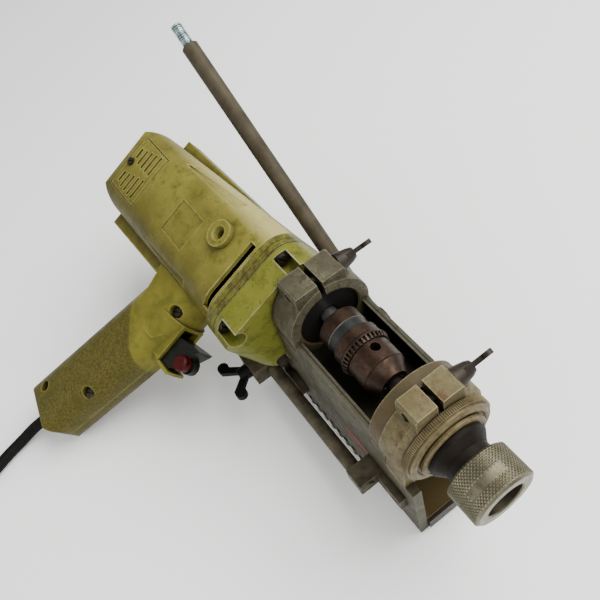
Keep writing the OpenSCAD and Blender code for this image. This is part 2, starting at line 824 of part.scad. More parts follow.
module chuck_body() {
    color([0.27, 0.17, 0.13])
    difference() {
        turn_x() polygon([
            [0, chuck_back], [13.6, chuck_back], [14.4, chuck_back + 0.8], [14.4, chuck_back + 9.8],
            [13.9, chuck_back + 10.2], [13.9, chuck_back + 16], [chuck_body_radius - 0.9, chuck_back + 16.4],
            [chuck_body_radius - 0.9, ring_teeth_front + 0.4], [chuck_body_radius, ring_teeth_front + 0.4],
            [chuck_body_radius, chuck_nose - 9], [chuck_body_radius - 0.7, chuck_nose - 8.4],
            [9.4, chuck_nose], [0, chuck_nose]
        ]);
        bar_x(ring_teeth_front - 4, chuck_nose + 1, shank_radius + 0.5);
        bar_x(chuck_back - 1, chuck_back + 12, 6 + seat);
        for (k = [0 : 2]) {
            at_jaw(k) translate([0, 0, -20]) cylinder(h = 40.4, r = jaw_radius + running);
            translate([ring_teeth_front + 5.4, 0, axis_height]) rotate([120 * k - 12, 0, 0])
                translate([0, 0, 8.5]) cylinder(h = 12, r = key_hole_radius);
        }
    }
}

module chuck_sleeve() {
    color([0.3, 0.19, 0.14])
    difference() {
        union() {
            turn_x() polygon([
                [0, chuck_back + 17], [chuck_body_radius + 0.2, chuck_back + 17],
                [chuck_body_radius + 1, chuck_back + 17.8], [chuck_body_radius + 1, ring_teeth_front - 6],
                [chuck_ring_radius - 0.6, ring_teeth_front - 5],
                [chuck_ring_radius - 0.6, ring_teeth_front - 3.6], [0, ring_teeth_front - 3.6]
            ]);
            intersection() {
                run_x(ring_teeth_front - 3.7, ring_teeth_front) translate([0, axis_height]) gear_outline(
                    2 * (chuck_ring_radius - 0.8) / chuck_teeth, chuck_teeth, chuck_ring_radius,
                    chuck_ring_radius - 1.8, 0.1
                );
                cone_x(ring_teeth_front - 4, ring_teeth_front + 0.01,
                    chuck_ring_radius + 0.3, chuck_ring_radius - 1.1);
            }
        }
        bar_x(chuck_back, ring_teeth_front + 1, chuck_body_radius - 0.9 + running);
    }
}

// Drill

// The tapered housing with a bowed rear end, grown inwards by an inset
module housing_form(inset) {
    r = max(2, corner - inset);
    half = housing_half - inset;
    back = inset - housing_rear - housing_front;
    intersection() {
        translate([housing_front, housing_top - inset, 0]) rotate([0, 0, top_fall]) run_x(-220, 20)
            rounded(-130, -half, 0, half, r);
        translate([housing_front, inset - housing_low, 0]) rotate([0, 0, low_fall]) run_x(-220, 20)
            rounded(0, -half, 130, half, r);
        translate([housing_front, housing_top - inset, -60]) rotate([0, 0, top_fall])
            linear_extrude(height = 120) rounded(back, -150, 60, 0, 20 - inset);
        translate([housing_front, inset - housing_low, -60]) rotate([0, 0, low_fall])
            linear_extrude(height = 120) rounded(back, 0, 60, 150, 36 - inset);
        union() {
            translate([rear_bow - housing_rear, -29, -60]) cylinder(h = 120, r = rear_bow - inset);
            translate([rear_bow - housing_rear, -150, -60]) cube([260, 250, 120]);
        }
        translate([0, 60, 0]) rotate([90, 0, 0]) linear_extrude(height = 160)
            rounded(inset - housing_rear, -half, 40, half, 17 - inset);
    }
}

cover_back = 17 - housing_rear;
cover_front = cover_back + 37;
vent_screw = [cover_back + 4.6, -24.5];
boss_place = [housing_front - 31.5, -10];
cover_low = -47;
cover_high = -3;

module cover_zone(grow) {
    translate([cover_back - grow, cover_low - grow, 0])
        cube([cover_front - cover_back + 2 * grow, cover_high - cover_low + 2 * grow, 60]);
}

module vent_slots() {
    for (i = [0 : 4]) {
        for (y = [-44, -22]) {
            translate([cover_back + 5.4 + 6 * i, i == 0 ? y + 2.5 : y, 0])
                cube([2.2, i == 0 ? 8.5 : 11 + 1.5 * i, 60]);
        }
    }
}

// Straight rails along the top and the underside
module housing_rails() {
    translate([0, 0, -7]) linear_extrude(height = 14) polygon([
        [housing_front - 150.5, -10], [housing_front - 150.5, housing_top - 6.1],
        [housing_front - 13.5, housing_top - 3.1], [housing_front - 13.5, -10]
    ]);
    translate([0, 0, -15]) linear_extrude(height = 30) polygon([
        [housing_front - 150.5, -40], [housing_front - 150.5, -housing_low - 13.4],
        [housing_front - 77, -housing_low - 10], [housing_front - 77, -40]
    ]);
}

// A tapered flute along a corner, ending square at its deep front end
module flute(x0, y0, fall) {
    translate([x0, y0, 26.7]) rotate([0, 0, fall]) rotate([0, 90 - 2.3, 0])
        cylinder(h = 71, r1 = 0.3, r2 = 6.5);
}

module motor_housing() {
    color([0.55, 0.52, 0.2])
    in_drill() difference() {
        union() {
            difference() {
                union() {
                    housing_form(0);
                    housing_rails();
                }
                housing_form(shell);
                for (m = [0, 1]) {
                    mirror([0, 0, m]) difference() {
                        cover_zone(0.15);
                        housing_form(1.8);
                    }
                    mirror([0, 0, m]) translate([cover_back + 9, cover_low + 3, 10])
                        cube([cover_front - cover_back - 12, cover_high - cover_low - 6, 60]);
                    mirror([0, 0, m]) translate([housing_front - 8.5, -51, 10]) cube([6.2, 52, 60]);
                }
            }
            for (m = [0, 1]) {
                mirror([0, 0, m]) translate([boss_place[0], boss_place[1], housing_half - 14])
                    cylinder(h = 18.5, r = 9.6);
                mirror([0, 0, m]) translate([vent_screw[0], vent_screw[1], housing_half - 9])
                    cylinder(h = 7, r = 4);
            }
            intersection() {
                housing_form(0.6);
                translate([-housing_rear, motor_y, 0]) rotate([0, 90, 0])
                    cylinder(h = housing_rear + rear_bearing + 8, r = 12);
            }
        }
        translate([housing_front, -100, -60]) cube([60, 200, 120]);
        for (m = [0, 1]) {
            mirror([0, 0, m]) translate([boss_place[0], boss_place[1], housing_half - 9])
                cylinder(h = 30, r = 3.4);
            mirror([0, 0, m]) translate([boss_place[0], boss_place[1], housing_half + 1])
                cylinder(h = 10, r1 = 3.4, r2 = 8);
            mirror([0, 0, m]) translate([vent_screw[0], vent_screw[1], housing_half - 8])
                cylinder(h = 30, r = 1.5 + seat);
            mirror([0, 0, m]) flute(-192, 4.9, 7.86);
            mirror([0, 0, m]) flute(-189, -56.5, -0.8);
        }
        translate([rear_bearing, motor_y, 0]) rotate([0, 90, 0]) cylinder(h = 12, r = 8 + seat);
        translate([housing_front - 82.5, -39, housing_half - 0.6]) cube([29, 25.5, 5]);
    }
}

module vent_covers() {
    color([0.56, 0.53, 0.22])
    in_drill() for (m = [0, 1]) {
        mirror([0, 0, m]) difference() {
            intersection() {
                cover_zone(0);
                housing_form(0);
            }
            housing_form(1.8 - seat);
            vent_slots();
            translate([vent_screw[0], vent_screw[1], 0]) cylinder(h = 60, r = 1.5 + seat);
        }
    }
}

module vent_screws() {
    color([0.25, 0.24, 0.22])
    in_drill() for (m = [0, 1]) {
        mirror([0, 0, m]) translate([vent_screw[0], vent_screw[1], 0]) {
            translate([0, 0, housing_half - 7.5]) cylinder(h = 9, r = 1.5);
            translate([0, 0, housing_half + seat]) cylinder(h = 1.6, r = 3);
        }
    }
}

module motor_bar(x0, x1, r) {
    in_drill() translate([x0, motor_y, 0]) rotate([0, 90, 0]) cylinder(h = x1 - x0, r = r);
}

module stator() {
    color([0.3, 0.3, 0.31])
    difference() {
        intersection() {
            motor_bar(-186, -140, housing_half - shell - 0.3);
            in_drill() translate([-190, motor_y - 26, -40]) cube([60, 52, 80]);
        }
        motor_bar(-187, -139, 19);
    }
}

module armature_shaft() {
    color([0.5, 0.5, 0.5])
    motor_bar(rear_bearing + 0.5, -57, motor_shaft_radius - 1);
    motor_bar(-232, -85, motor_shaft_radius);
    in_drill() translate([gear_back, motor_y, 0]) rotate([90, 0, 90]) linear_extrude(height = gear_width + 2)
        gear_outline(
            motor_module, motor_pinion_teeth, motor_module * (motor_pinion_teeth / 2 + 0.7),
            motor_module * (motor_pinion_teeth / 2 - 1.05), 0.2
        );
}

module armature_core() {
    color([0.33, 0.24, 0.16])
    difference() {
        motor_bar(-188, -138, 18);
        motor_bar(-189, -137, motor_shaft_radius + seat);
        in_drill() for (a = [0 : 11]) {
            translate([-189, motor_y, 0]) rotate([30 * a, 0, 0]) translate([0, -1.2, 11]) cube([52, 2.4, 10]);
        }
    }
}

module commutator() {
    color([0.6, 0.36, 0.2])
    difference() {
        motor_bar(-228, -210, 11);
        motor_bar(-229, -209, motor_shaft_radius + seat);
    }
}

module brush_holders() {
    color([0.16, 0.15, 0.14])
    in_drill() for (m = [0, 1]) {
        mirror([0, 0, m]) {
            translate([-226, motor_y - 4, 11.4]) cube([9, 8, 16]);
            translate([-228, motor_y - 6, 19]) cube([12.5, 12, housing_half - shell - 19 - 0.4]);
        }
    }
}

module cooling_fan() {
    color([0.12, 0.12, 0.12])
    difference() {
        union() {
            motor_bar(-103, -100.5, 26);
            motor_bar(-103, -89, 8);
            in_drill() for (a = [0 : 11]) {
                translate([-100.6, motor_y, 0]) rotate([30 * a, 0, 0])
                    translate([0, -0.8, 7]) cube([10, 1.6, 18.5]);
            }
        }
        motor_bar(-107, -85, motor_shaft_radius + seat);
    }
}

module motor_bearings() {
    color([0.5, 0.5, 0.52])
    difference() {
        union() {
            motor_bar(rear_bearing + 0.2, rear_bearing + 7, 8);
            motor_bar(-84, -77, 8);
        }
        motor_bar(-250, -50, motor_shaft_radius - 1 + running);
    }
}

module plate_section(inset) {
    half = housing_half - inset;
    rounded(inset - housing_low - 3, -half, housing_top + 0.5 - inset, half, corner - inset);
}

module bearing_plate() {
    color([0.58, 0.58, 0.16])
    in_drill() difference() {
        union() {
            run_x(housing_front + beside, plate_front) plate_section(0);
            translate([housing_front - 4, motor_y, 0]) rotate([0, 90, 0]) cylinder(h = 8, r = 12);
        }
        translate([-84.5, motor_y, 0]) rotate([0, 90, 0]) cylinder(h = 7.6, r = 8 + seat);
        translate([-90, motor_y, 0]) rotate([0, 90, 0]) cylinder(h = 40, r = motor_shaft_radius + 1.4);
        translate([plate_front - 6, 0, 0]) rotate([0, 90, 0]) cylinder(h = 20, r = 8 + seat);
        for (p = gear_screw_places()) {
            translate([-100, p[0], p[1]]) rotate([0, 90, 0]) cylinder(h = 60, r = 2 + seat);
        }
    }
}

function gear_screw_places() = [
    [housing_top - 14.5, housing_half - 5], [housing_top - 14.5, 5 - housing_half],
    [10.5 - housing_low, housing_half - 6], [10.5 - housing_low, 6 - housing_half]
];

module gear_housing() {
    color([0.6, 0.62, 0.15])
    in_drill() difference() {
        union() {
            intersection() {
                run_x(plate_front + 0.1, gear_front) plate_section(0);
                gear_front_outline(0);
            }
            translate([gear_front - 1, 0, 0]) rotate([0, 90, 0])
                cylinder(h = rear_clamp_width - 1.5, r = collar_radius);
        }
        difference() {
            intersection() {
                run_x(plate_front - 1, gear_front - 5) plate_section(4);
                gear_front_outline(4.5);
            }
            for (p = gear_screw_places()) {
                translate([plate_front - 2, p[0], p[1]]) rotate([0, 90, 0]) cylinder(h = 40, r = 7.6);
            }
        }
        translate([plate_front - 8, 0, 0]) rotate([0, 90, 0]) cylinder(h = 80, r = 6.8);
        translate([gear_front - 4, 0, 0]) rotate([0, 90, 0]) cylinder(h = 8, r = 13 + seat);
        for (p = gear_screw_places()) {
            translate([plate_front + 5, p[0], p[1]]) rotate([0, 90, 0]) cylinder(h = 40, r = 6);
            translate([plate_front - 28, p[0], p[1]]) rotate([0, 90, 0]) cylinder(h = 60, r = 2 + seat);
        }
    }
}

// Side outline of the gear housing with its round toe
module gear_front_outline(inset) {
    translate([0, 0, -60]) linear_extrude(height = 120)
        rounded(plate_front - 60, inset - housing_low - 3, gear_front - inset, housing_top + 40, 13 - inset);
}

module gear_screws() {
    color([0.3, 0.28, 0.22])
    in_drill() for (p = gear_screw_places()) {
        translate([housing_front + 1, p[0], p[1]]) rotate([0, 90, 0])
            cylinder(h = plate_front - housing_front + 4.5, r = 2);
        translate([plate_front + 5 + seat, p[0], p[1]]) rotate([0, 90, 0]) cylinder(h = 3, r = 4);
    }
}

module drill_spindle() {
    color([0.45, 0.44, 0.42])
    bar_x(plate_front - 5.5, chuck_back + 11.5, 6);
}

module spindle_gear() {
    color([0.42, 0.4, 0.37])
    difference() {
        translate([gear_back, 0, axis_height]) rotate([drill_roll, 0, 0]) rotate([90, 0, 90])
            linear_extrude(height = gear_width) gear_outline(
                motor_module, spindle_gear_teeth, motor_module * (spindle_gear_teeth / 2 + 0.7),
                motor_module * (spindle_gear_teeth / 2 - 1.1), 0.2
            );
        bar_x(gear_back - 1, gear_back + gear_width + 1, 6 + seat);
    }
}

module spindle_bearings() {
    color([0.5, 0.5, 0.52])
    difference() {
        union() {
            bar_x(gear_front - 3.9, gear_front + 4, 13);
            bar_x(plate_front - 5.9, plate_front - 0.5, 8);
        }
        bar_x(-100, 0, 6 + running);
    }
}

// Handle

module in_handle() {
    in_drill() translate([handle_x, -handle_root, 0]) rotate([0, 0, -handle_lean]) children();
}

module grip_form(inset) {
    b = handle_back - inset;
    f = handle_front - inset;
    t = handle_thick / 2 - inset;
    translate([0, 20, 0]) intersection() {
        rotate([90, 0, 0]) linear_extrude(height = handle_length + 20 - inset)
            rounded(-b, -t, f, t, 18 - inset);
        translate([0, 0, -40]) linear_extrude(height = 80)
            rounded(-b, -handle_length - 20 + inset, f, 40, 13);
        rotate([0, 90, 0]) translate([0, 0, -60]) linear_extrude(height = 120)
            rounded(-t, -handle_length - 20 + inset, t, 40, 6);
    }
}

// Where the handle's root keeps its own rounded form over the trigger
module root_zone() {
    in_drill() translate([handle_x - 14, trigger_top + 2.5, -30]) cube([60, 60, 60]);
}

module yoke_form() {
    half = handle_thick / 2;
    in_drill() intersection() {
        translate([0, 0, -half]) linear_extrude(height = 2 * half) polygon([
            [handle_x - 29, -50], [root_front, -50], [root_front, -84], [handle_x + 10, -100],
            [handle_x - 20, -100], [handle_x - 22, -80]
        ]);
        translate([0, -40, 0]) rotate([90, 0, 0]) linear_extrude(height = 90)
            rounded(handle_x - 46, -half, root_front, half, 18);
    }
}

// The square frame round the trigger, with a lip under it
module trigger_frame() {
    in_drill() {
        translate([handle_x + 8, trigger_low, -10.5])
            cube([frame_front - handle_x - 8, trigger_top + 2.5 - trigger_low, 21]);
        translate([handle_x + 8, trigger_low - 2.2, -9]) cube([frame_front + 5 - handle_x, 2.2, 18]);
    }
}

module handle_shell() {
    difference() {
        union() {
            difference() {
                in_handle() grip_form(0);
                root_zone();
            }
            yoke_form();
            trigger_frame();
        }
        difference() {
            in_handle() grip_form(shell);
            root_zone();
            for (s = [-1, 1]) {
                in_handle() translate([-17, -57, s * (switch_half + beside + 8) - 8]) cube([12, 26, 16]);
            }
            for (p = handle_screw_places()) {
                in_drill() translate([p[0], p[1], -30]) cylinder(h = 60, r = 5.5);
            }
        }
        in_drill() housing_form(-0.1);
        in_drill() translate([handle_x - 4, -108, -trigger_thick / 2 - 0.6])
            cube([60, trigger_top + 108, trigger_thick + 1.2]);
        in_handle() translate([-grommet_back, 1 - handle_length, 0]) rotate([90, 0, 0]) translate([0, 0, -6])
            cylinder(h = 20, r = grommet_radius + seat);
        for (p = handle_screw_places()) {
            in_drill() translate([p[0], p[1], -12]) cylinder(h = 60, r = 1.7 + seat);
            in_drill() translate([p[0], p[1], 13.5]) cylinder(h = 30, r = 4.2);
        }
    }
}

function handle_screw_places() = [[-115.7, -74], [-131, -166], [-167, -194]];

module handle_right() {
    color([0.54, 0.52, 0.22])
    intersection() {
        handle_shell();
        in_drill() translate([-260, -260, 0.05]) cube([220, 230, 60]);
    }
}

module handle_left() {
    color([0.54, 0.52, 0.22])
    intersection() {
        handle_shell();
        in_drill() translate([-260, -260, -60.05]) cube([220, 230, 60]);
    }
}

module handle_screws() {
    color([0.2, 0.19, 0.16])
    in_drill() for (p = handle_screw_places()) {
        translate([p[0], p[1], -11]) cylinder(h = 25, r = 1.7);
        translate([p[0], p[1], 13.5 + seat]) cylinder(h = 2.2, r = 3.6);
    }
}

module switch_body() {
    color([0.08, 0.08, 0.08])
    in_handle() translate([-18.5, -62, -switch_half]) cube([14.5, 36, 2 * switch_half]);
}

lock_place = [handle_x + 37.8, -96.4];

module trigger_outline() {
    translate([handle_x, 0]) polygon([
        [2.3, -107.4], [2.3, -88], [15, -88], [25, -85.5], [34, -83.2], [42.3, -81.3], [41.7, -84],
        [38.8, -90], [36.3, -96], [34.3, -103], [30, -107.4]
    ]);
}

module trigger() {
    color([0.05, 0.05, 0.05])
    in_drill() difference() {
        union() {
            translate([0, 0, -trigger_thick / 2]) linear_extrude(height = trigger_thick) trigger_outline();
            translate([lock_place[0], lock_place[1], -3.5]) cylinder(h = 5.5, r = lock_radius + 0.8);
            translate([handle_x - 4.7, -98, 0]) rotate([0, 90, 0]) cylinder(h = 10, r = 3.5);
        }
        translate([lock_place[0], lock_place[1], 2]) cylinder(h = 30, r = lock_radius + beside);
        translate([lock_place[0], lock_place[1], -10]) cylinder(h = 30, r = lock_stem + running);
    }
}

module lock_button() {
    color([0.5, 0.06, 0.06])
    in_drill() translate([lock_place[0], lock_place[1], 0]) {
        translate([0, 0, -2]) cylinder(h = 7, r = lock_stem);
        translate([0, 0, 4.8]) cylinder(h = 5, r = lock_radius);
        translate([0, 0, 9.8]) cylinder(h = 1.2, r1 = lock_radius, r2 = lock_radius - 1.2);
    }
}

// Cord

module cord_grommet() {
    color([0.06, 0.06, 0.06])
    in_handle() translate([-grommet_back, -handle_length, 0]) rotate([90, 0, 0]) {
        translate([0, 0, -4]) cylinder(h = 8, r = grommet_radius);
        translate([0, 0, 3.9])
            cylinder(h = grommet_length - 3.9, r1 = grommet_radius, r2 = grommet_radius - 0.5);
    }
}

function unit(v) = v / norm(v);
function ring_points(path, r, n) = [
    for (i = [0 : len(path) - 1])
        let (
            ahead = unit(path[min(i + 1, len(path) - 1)] - path[max(i - 1, 0)]),
            side = unit(cross(ahead, [0, 0, 1])),
            over = cross(side, ahead)
        )
        for (k = [0 : n - 1]) path[i] + r * (cos(360 * k / n) * side + sin(360 * k / n) * over)
];
module tube(path, r, n) {
    last = len(path) - 1;
    polyhedron(
        points = ring_points(path, r, n),
        faces = concat(
            [[for (k = [n - 1 : -1 : 0]) k]],
            [
                for (i = [0 : last - 1])
                    for (k = [0 : n - 1])
                        [i * n + k, i * n + (k + 1) % n, (i + 1) * n + (k + 1) % n, (i + 1) * n + k]
            ],
            [[for (k = [0 : n - 1]) last * n + k]]
        ),
        convexity = 8
    );
}

function drill_point(x, y) = [x, y * cos(drill_roll), axis_height + y * sin(drill_roll)];
function handle_point(u, v) = drill_point(
    handle_x + u * cos(handle_lean) + v * sin(handle_lean),
    -handle_root - u * sin(handle_lean) + v * cos(handle_lean)
);
cord_start = handle_point(-grommet_back, -handle_length - grommet_length - beside);
lead_x = cord_start[0] + 18.6;
lead_end = coil_y + 2 * cord_radius + beside;
coil_x = lead_x - coil_radius;

// The free cord leaves the grommet along the handle, settles on the floor and runs to the coil:
// Each step has its share of the way to the coil, its place beside the start and its share of the height
lead_steps = [
    [0, 0, 1], [0.057, -1.6, 0.677], [0.1, -2.9, 0.438], [0.143, -3.4, 0.24], [0.183, -3, 0.1],
    [0.223, -2.1, 0.026],
    [0.263, -0.9, 0], [0.318, 1.1, 0], [0.382, 4, 0], [0.453, 7.6, 0], [0.533, 11.6, 0], [0.62, 15.1, 0],
    [0.716, 17.5, 0], [0.82, 18.5, 0], [0.915, 18.6, 0], [1, 18.6, 0]
];
lead_points = [
    for (s = lead_steps) [
        cord_start[0] + s[1],
        cord_start[1] + s[0] * (lead_end - cord_start[1]),
        coil_low + s[2] * (cord_start[2] - coil_low)
    ]
];

module cord_lead() {
    color([0.07, 0.07, 0.07]) tube(lead_points, cord_radius, 10);
}

// The coil spirals in on the floor, climbs in the half turn where it reverses and spirals out on top
total_turns = 2 * layer_turns + 0.5;
turn_back = layer_turns + 0.25;
function coil_radius_at(t) = coil_radius - coil_pitch * (t < turn_back ? t : 2 * turn_back - t);
function climb(t) = min(1, max(0, (t - layer_turns) * 2));
function coil_height_at(t) = coil_low + (coil_high - coil_low) * (1 - cos(180 * climb(t))) / 2;
function coil_point(t) = [
    coil_x + coil_radius_at(t) * cos(-360 * t),
    coil_y + coil_radius_at(t) * sin(-360 * t),
    coil_height_at(t)
];
coil_end = coil_point(total_turns);
coil_path = concat(
    [[lead_x, coil_y + 2 * cord_radius, coil_low]],
    [for (i = [0 : total_turns * 24]) coil_point(i / 24)],
    [coil_end + [0, 12, 0], coil_end + [0, 30, 0]]
);
coil_gap = min([
    for (i = [0 : 4 : len(coil_path) - 1])
        min([for (j = [0 : len(coil_path) - 1]) abs(i - j) > 12 ? norm(coil_path[i] - coil_path[j]) : 1000])
]) - 2 * cord_radius;
echo("least gap of the coil to itself", coil_gap);

module cord_coil() {
    color([0.07, 0.07, 0.07]) tube(coil_path, cord_radius, 6);
}

module cord_tie() {
    inner = coil_radius_at(layer_turns - 0.25) - cord_radius;
    color([0.1, 0.1, 0.1])
    translate([coil_x, coil_y, 0]) rotate([0, 0, 90]) translate([0, -5, 0]) difference() {
        translate([inner - 1.5, 0, 0.1])
            cube([2 * coil_pitch + 2 * cord_radius + 3, 10, coil_high + cord_radius + 0.9]);
        translate([inner - 0.9, -1, 0.7])
            cube([2 * coil_pitch + 2 * cord_radius + 1.8, 12, coil_high + cord_radius - 0.3]);
    }
}

module plug() {
    color([0.06, 0.06, 0.06])
    translate(coil_end + [0, 30.3, 0]) rotate([-90, 0, 0]) {
        cylinder(h = 14, r1 = 6.5, r2 = 7.5);
        translate([0, 0, 13.9]) cylinder(h = 6, r1 = 9, r2 = 13);
        translate([0, 0, 19.8]) cylinder(h = 22, r = 13);
        for (s = [-1, 1]) {
            translate([9.5 * s, 0, 41]) cylinder(h = 18, r = 2.4);
            translate([9.5 * s, 0, 58.9]) cylinder(h = 1, r1 = 2.4, r2 = 1.4);
        }
    }
}

carrier_frame();
rear_clamp();
front_clamp();
rear_wing_screw();
front_wing_screw();
rear_stop_block();
front_stop_block();
block_screws();
stop_rod();
stop_wing_bolt();
lever_rod();
lever_stud();
lever_hub();
pinion_shaft();
feed_pinion();
shaft_cap();
rack_bar();
bearing_sleeve();
front_bush();
rear_bush();
knurled_ring();
retaining_ring();
drive_spindle();
collet();
collet_nut();
chuck_body();
chuck_sleeve();
jaw_one();
jaw_two();
jaw_three();
motor_housing();
vent_covers();
vent_screws();
stator();
armature_shaft();
armature_core();
commutator();
brush_holders();
cooling_fan();
motor_bearings();
bearing_plate();
gear_housing();
gear_screws();
drill_spindle();
spindle_gear();
spindle_bearings();
handle_right();
handle_left();
handle_screws();
switch_body();
trigger();
lock_button();
cord_grommet();
cord_lead();
cord_coil();
cord_tie();
plug();
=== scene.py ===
"""Finishes and fine detail of a pistol-grip drill clamped in the lever-fed carrier of a drilling stand."""

import math

import bmesh
import bpy
from mathutils import Matrix, Vector


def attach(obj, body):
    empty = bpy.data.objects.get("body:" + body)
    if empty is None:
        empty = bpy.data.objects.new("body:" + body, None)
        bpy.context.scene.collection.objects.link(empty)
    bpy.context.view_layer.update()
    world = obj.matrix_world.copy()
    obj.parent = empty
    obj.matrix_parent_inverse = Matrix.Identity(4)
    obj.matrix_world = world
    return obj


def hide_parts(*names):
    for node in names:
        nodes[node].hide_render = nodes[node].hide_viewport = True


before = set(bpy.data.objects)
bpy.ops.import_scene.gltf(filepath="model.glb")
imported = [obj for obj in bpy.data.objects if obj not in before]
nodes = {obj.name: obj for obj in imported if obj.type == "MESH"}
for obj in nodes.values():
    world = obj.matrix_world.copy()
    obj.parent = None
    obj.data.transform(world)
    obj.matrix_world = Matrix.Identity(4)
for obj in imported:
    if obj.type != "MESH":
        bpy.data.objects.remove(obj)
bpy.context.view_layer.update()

# Sizes that the solids also have, in millimetres and degrees
AXIS_HEIGHT = 102
DRILL_ROLL = 23.2
HANDLE_PLACE = (-126.3, -60, 0)
HANDLE_LEAN = 11.83
HANDLE_LENGTH = 155
HOUSING_HALF = 32.5
COVER_MIDDLE = (-224.5, -25)
COVER_HALF = (18.5, 22)
WALL_FACE = 29.5
WALL_INSIDE = 23.5
WALL_TOP = 97
FOOT_THICK = 5
COLLAR_RADIUS = 21.5
NUT_RADIUS = 19.1
NUT_BACK = 96.5
NUT_FRONT = 118.3
NUT_MOUTH_RADIUS = 11.6
RING_RADIUS = 28.6
RING_BACK = 73.7
RING_WIDTH = 4.0
LEVER_PIVOT = (-49.2, 42, 25.2)
LEVER_RISE = 40.1
LEVER_LENGTH = 260
STUD_LENGTH = 16.5

# Screws: the places of each kind and the height of its seat
GEAR_SCREWS = [(7, 27.5), (7, -27.5), (-48.5, 26.5), (-48.5, -26.5)]
GEAR_SCREW_SEAT = -66.98
HANDLE_SCREWS = [(-115.7, -74), (-131, -166), (-167, -194)]
HANDLE_SCREW_SEAT = 13.52
VENT_SCREW = (-238.4, -24.5)
VENT_SCREW_SEAT = HOUSING_HALF + 0.02
STOP_SCREWS = [(55, 42), (66, 42), (-65, 24), (-76, 24)]
STOP_SCREW_SINK = 2.5
SCREW_SLOT_TURN = 0.6

# Knurls and thread, which only texture the solids
NUT_COLUMNS = 56
NUT_KNURL_RUN = (NUT_BACK + 1.7, NUT_FRONT - 1.5)
NUT_POINT_HEIGHT = 0.5
NUT_POINT_SINK = 0.05
NUT_POINT_FILL = 0.98
NUT_POINT_TIP = 0.3
BARE_FIELD_RUN = (106.4, 111.6)
BARE_FIELD_TURN = (-20, 54)
RING_RIDGES = 140
RING_RIDGE_HEIGHT = 0.7
RING_RIDGE_SINK = 0.1
RING_RIDGE_MARGIN = 0.3
THREAD_PITCH = 1.75
THREAD_CORE = 3.6
THREAD_DEPTH = 0.8

# Marks, seams, worn zones and places of painted light and shade of the finishes, each as a span along, across
# or up the object
STRIPE_RUN = (11, 41)
STRIPE_HEIGHT = (41.6, 47.4)
SPLIT_LINE = (25.1, 25.8)
SPLIT_LINE_RUN = (-28, 48)
FORE_FACE_RUN = (57, 90)
FORE_FACE_HEIGHT = (50, 80)
# Inside the frame, a lighter brown near the tunnel mouth is painted light
TUNNEL_MOUTH_RUN = (34, 90)
BORE_RIM_RUN = (-29.5, -25)
CHUCK_BAND = (-11, -3.4)
# The light line at the chuck band's edge is a painted highlight
CHUCK_BAND_HIGHLIGHT = (-11.3, -10.8)
# Where the housing turns darker towards the bottom
LOWER_DARK_HEIGHT = (-75, -36)
# Where the upper corners of the housing carry a painted highlight
HIGHLIGHT_HEIGHT = (9, 60)
HIGHLIGHT_SIDE = (14, 40)
COVER_SEAM = (-0.05, 0.7)
STIPPLED_SPAN = (-400, -50)
# The gear case's collar, painted near black as shade
GEAR_COLLAR_RUN = (-50.2, 0)
GEAR_FLANGE_RUN = (-82, -70.5)
GEAR_SEAM = (-72.2, -71.6)
PLATE_SEAM = (-76.6, -76.1)

# The cord and its coil
CORD_RADIUS = 4.5
CORD_GAP = 0.3
GROMMET_BACK = 4.5
GROMMET_LENGTH = 10
COIL_RADIUS = 66
COIL_Y = -338
COIL_PITCH = 10
COIL_LOW = 5.4
COIL_HIGH = 15.0
COIL_STEPS = 24
LAYER_TURNS = 3
CLIMB_TURN = 0.5
TAIL_STEPS = (12, 30)

# The free cord: share of the way to the coil, place beside the start, share of the first height
LEAD_STEPS = [
    (0, 0, 1), (0.057, -1.6, 0.677), (0.1, -2.9, 0.438), (0.143, -3.4, 0.24),
    (0.183, -3, 0.1), (0.223, -2.1, 0.026), (0.263, -0.9, 0), (0.318, 1.1, 0),
    (0.382, 4, 0), (0.453, 7.6, 0), (0.533, 11.6, 0), (0.62, 15.1, 0),
    (0.716, 17.5, 0), (0.82, 18.5, 0), (0.915, 18.6, 0), (1, 18.6, 0),
]

# The view: the eye's place, the ways ahead and to the right, the lens, and the nearest distance shown
EYE = (182.6, -82.7, 429.0)
AHEAD = (-0.5736, 0.184, -0.798)
RIGHT = (0.5575, 0.802, -0.216)
LENS = 38.4
SENSOR = 36
NEAREST = 20

# How strongly metal, and dirty paint or plastic, mirror straight on
METAL_SHINE = 0.5
DIRTY_SHINE = 0.15

# Studio lights: place, aim and size in metres, and watts
LIGHTS = {
    "key_light": ((0.15, 0.75, 1.25), (-0.05, 0, 0.08), 1.3, 42),
    "nose_light": ((1.0, -0.2, 0.9), (0.05, 0, 0.08), 0.8, 9),
    "fill_light": ((-0.35, -1.1, 0.55), (0, 0, 0.05), 1.0, 5),
}
SKY_STRENGTH = 0.5
FLOOR_HALF = 4000
FLOOR_DROP = 0.2


def metres(place):
    """A place in millimetres as one in metres, which the scene is in."""
    return Vector(place) / 1000


def drill_place(x, y, z):
    """A place in the rolled drill's own frame as a place of the scene, both in millimetres."""
    roll = math.radians(DRILL_ROLL)
    across = y * math.cos(roll) - z * math.sin(roll)
    above = y * math.sin(roll) + z * math.cos(roll)
    return Vector((x, across, AXIS_HEIGHT + above))


def handle_place(back, along):
    """A place on the handle's middle plane, in millimetres behind its middle line and along it."""
    lean = math.radians(HANDLE_LEAN)
    x = HANDLE_PLACE[0] + back * math.cos(lean) + along * math.sin(lean)
    y = HANDLE_PLACE[1] - back * math.sin(lean) + along * math.cos(lean)
    return drill_place(x, y, 0)


# View


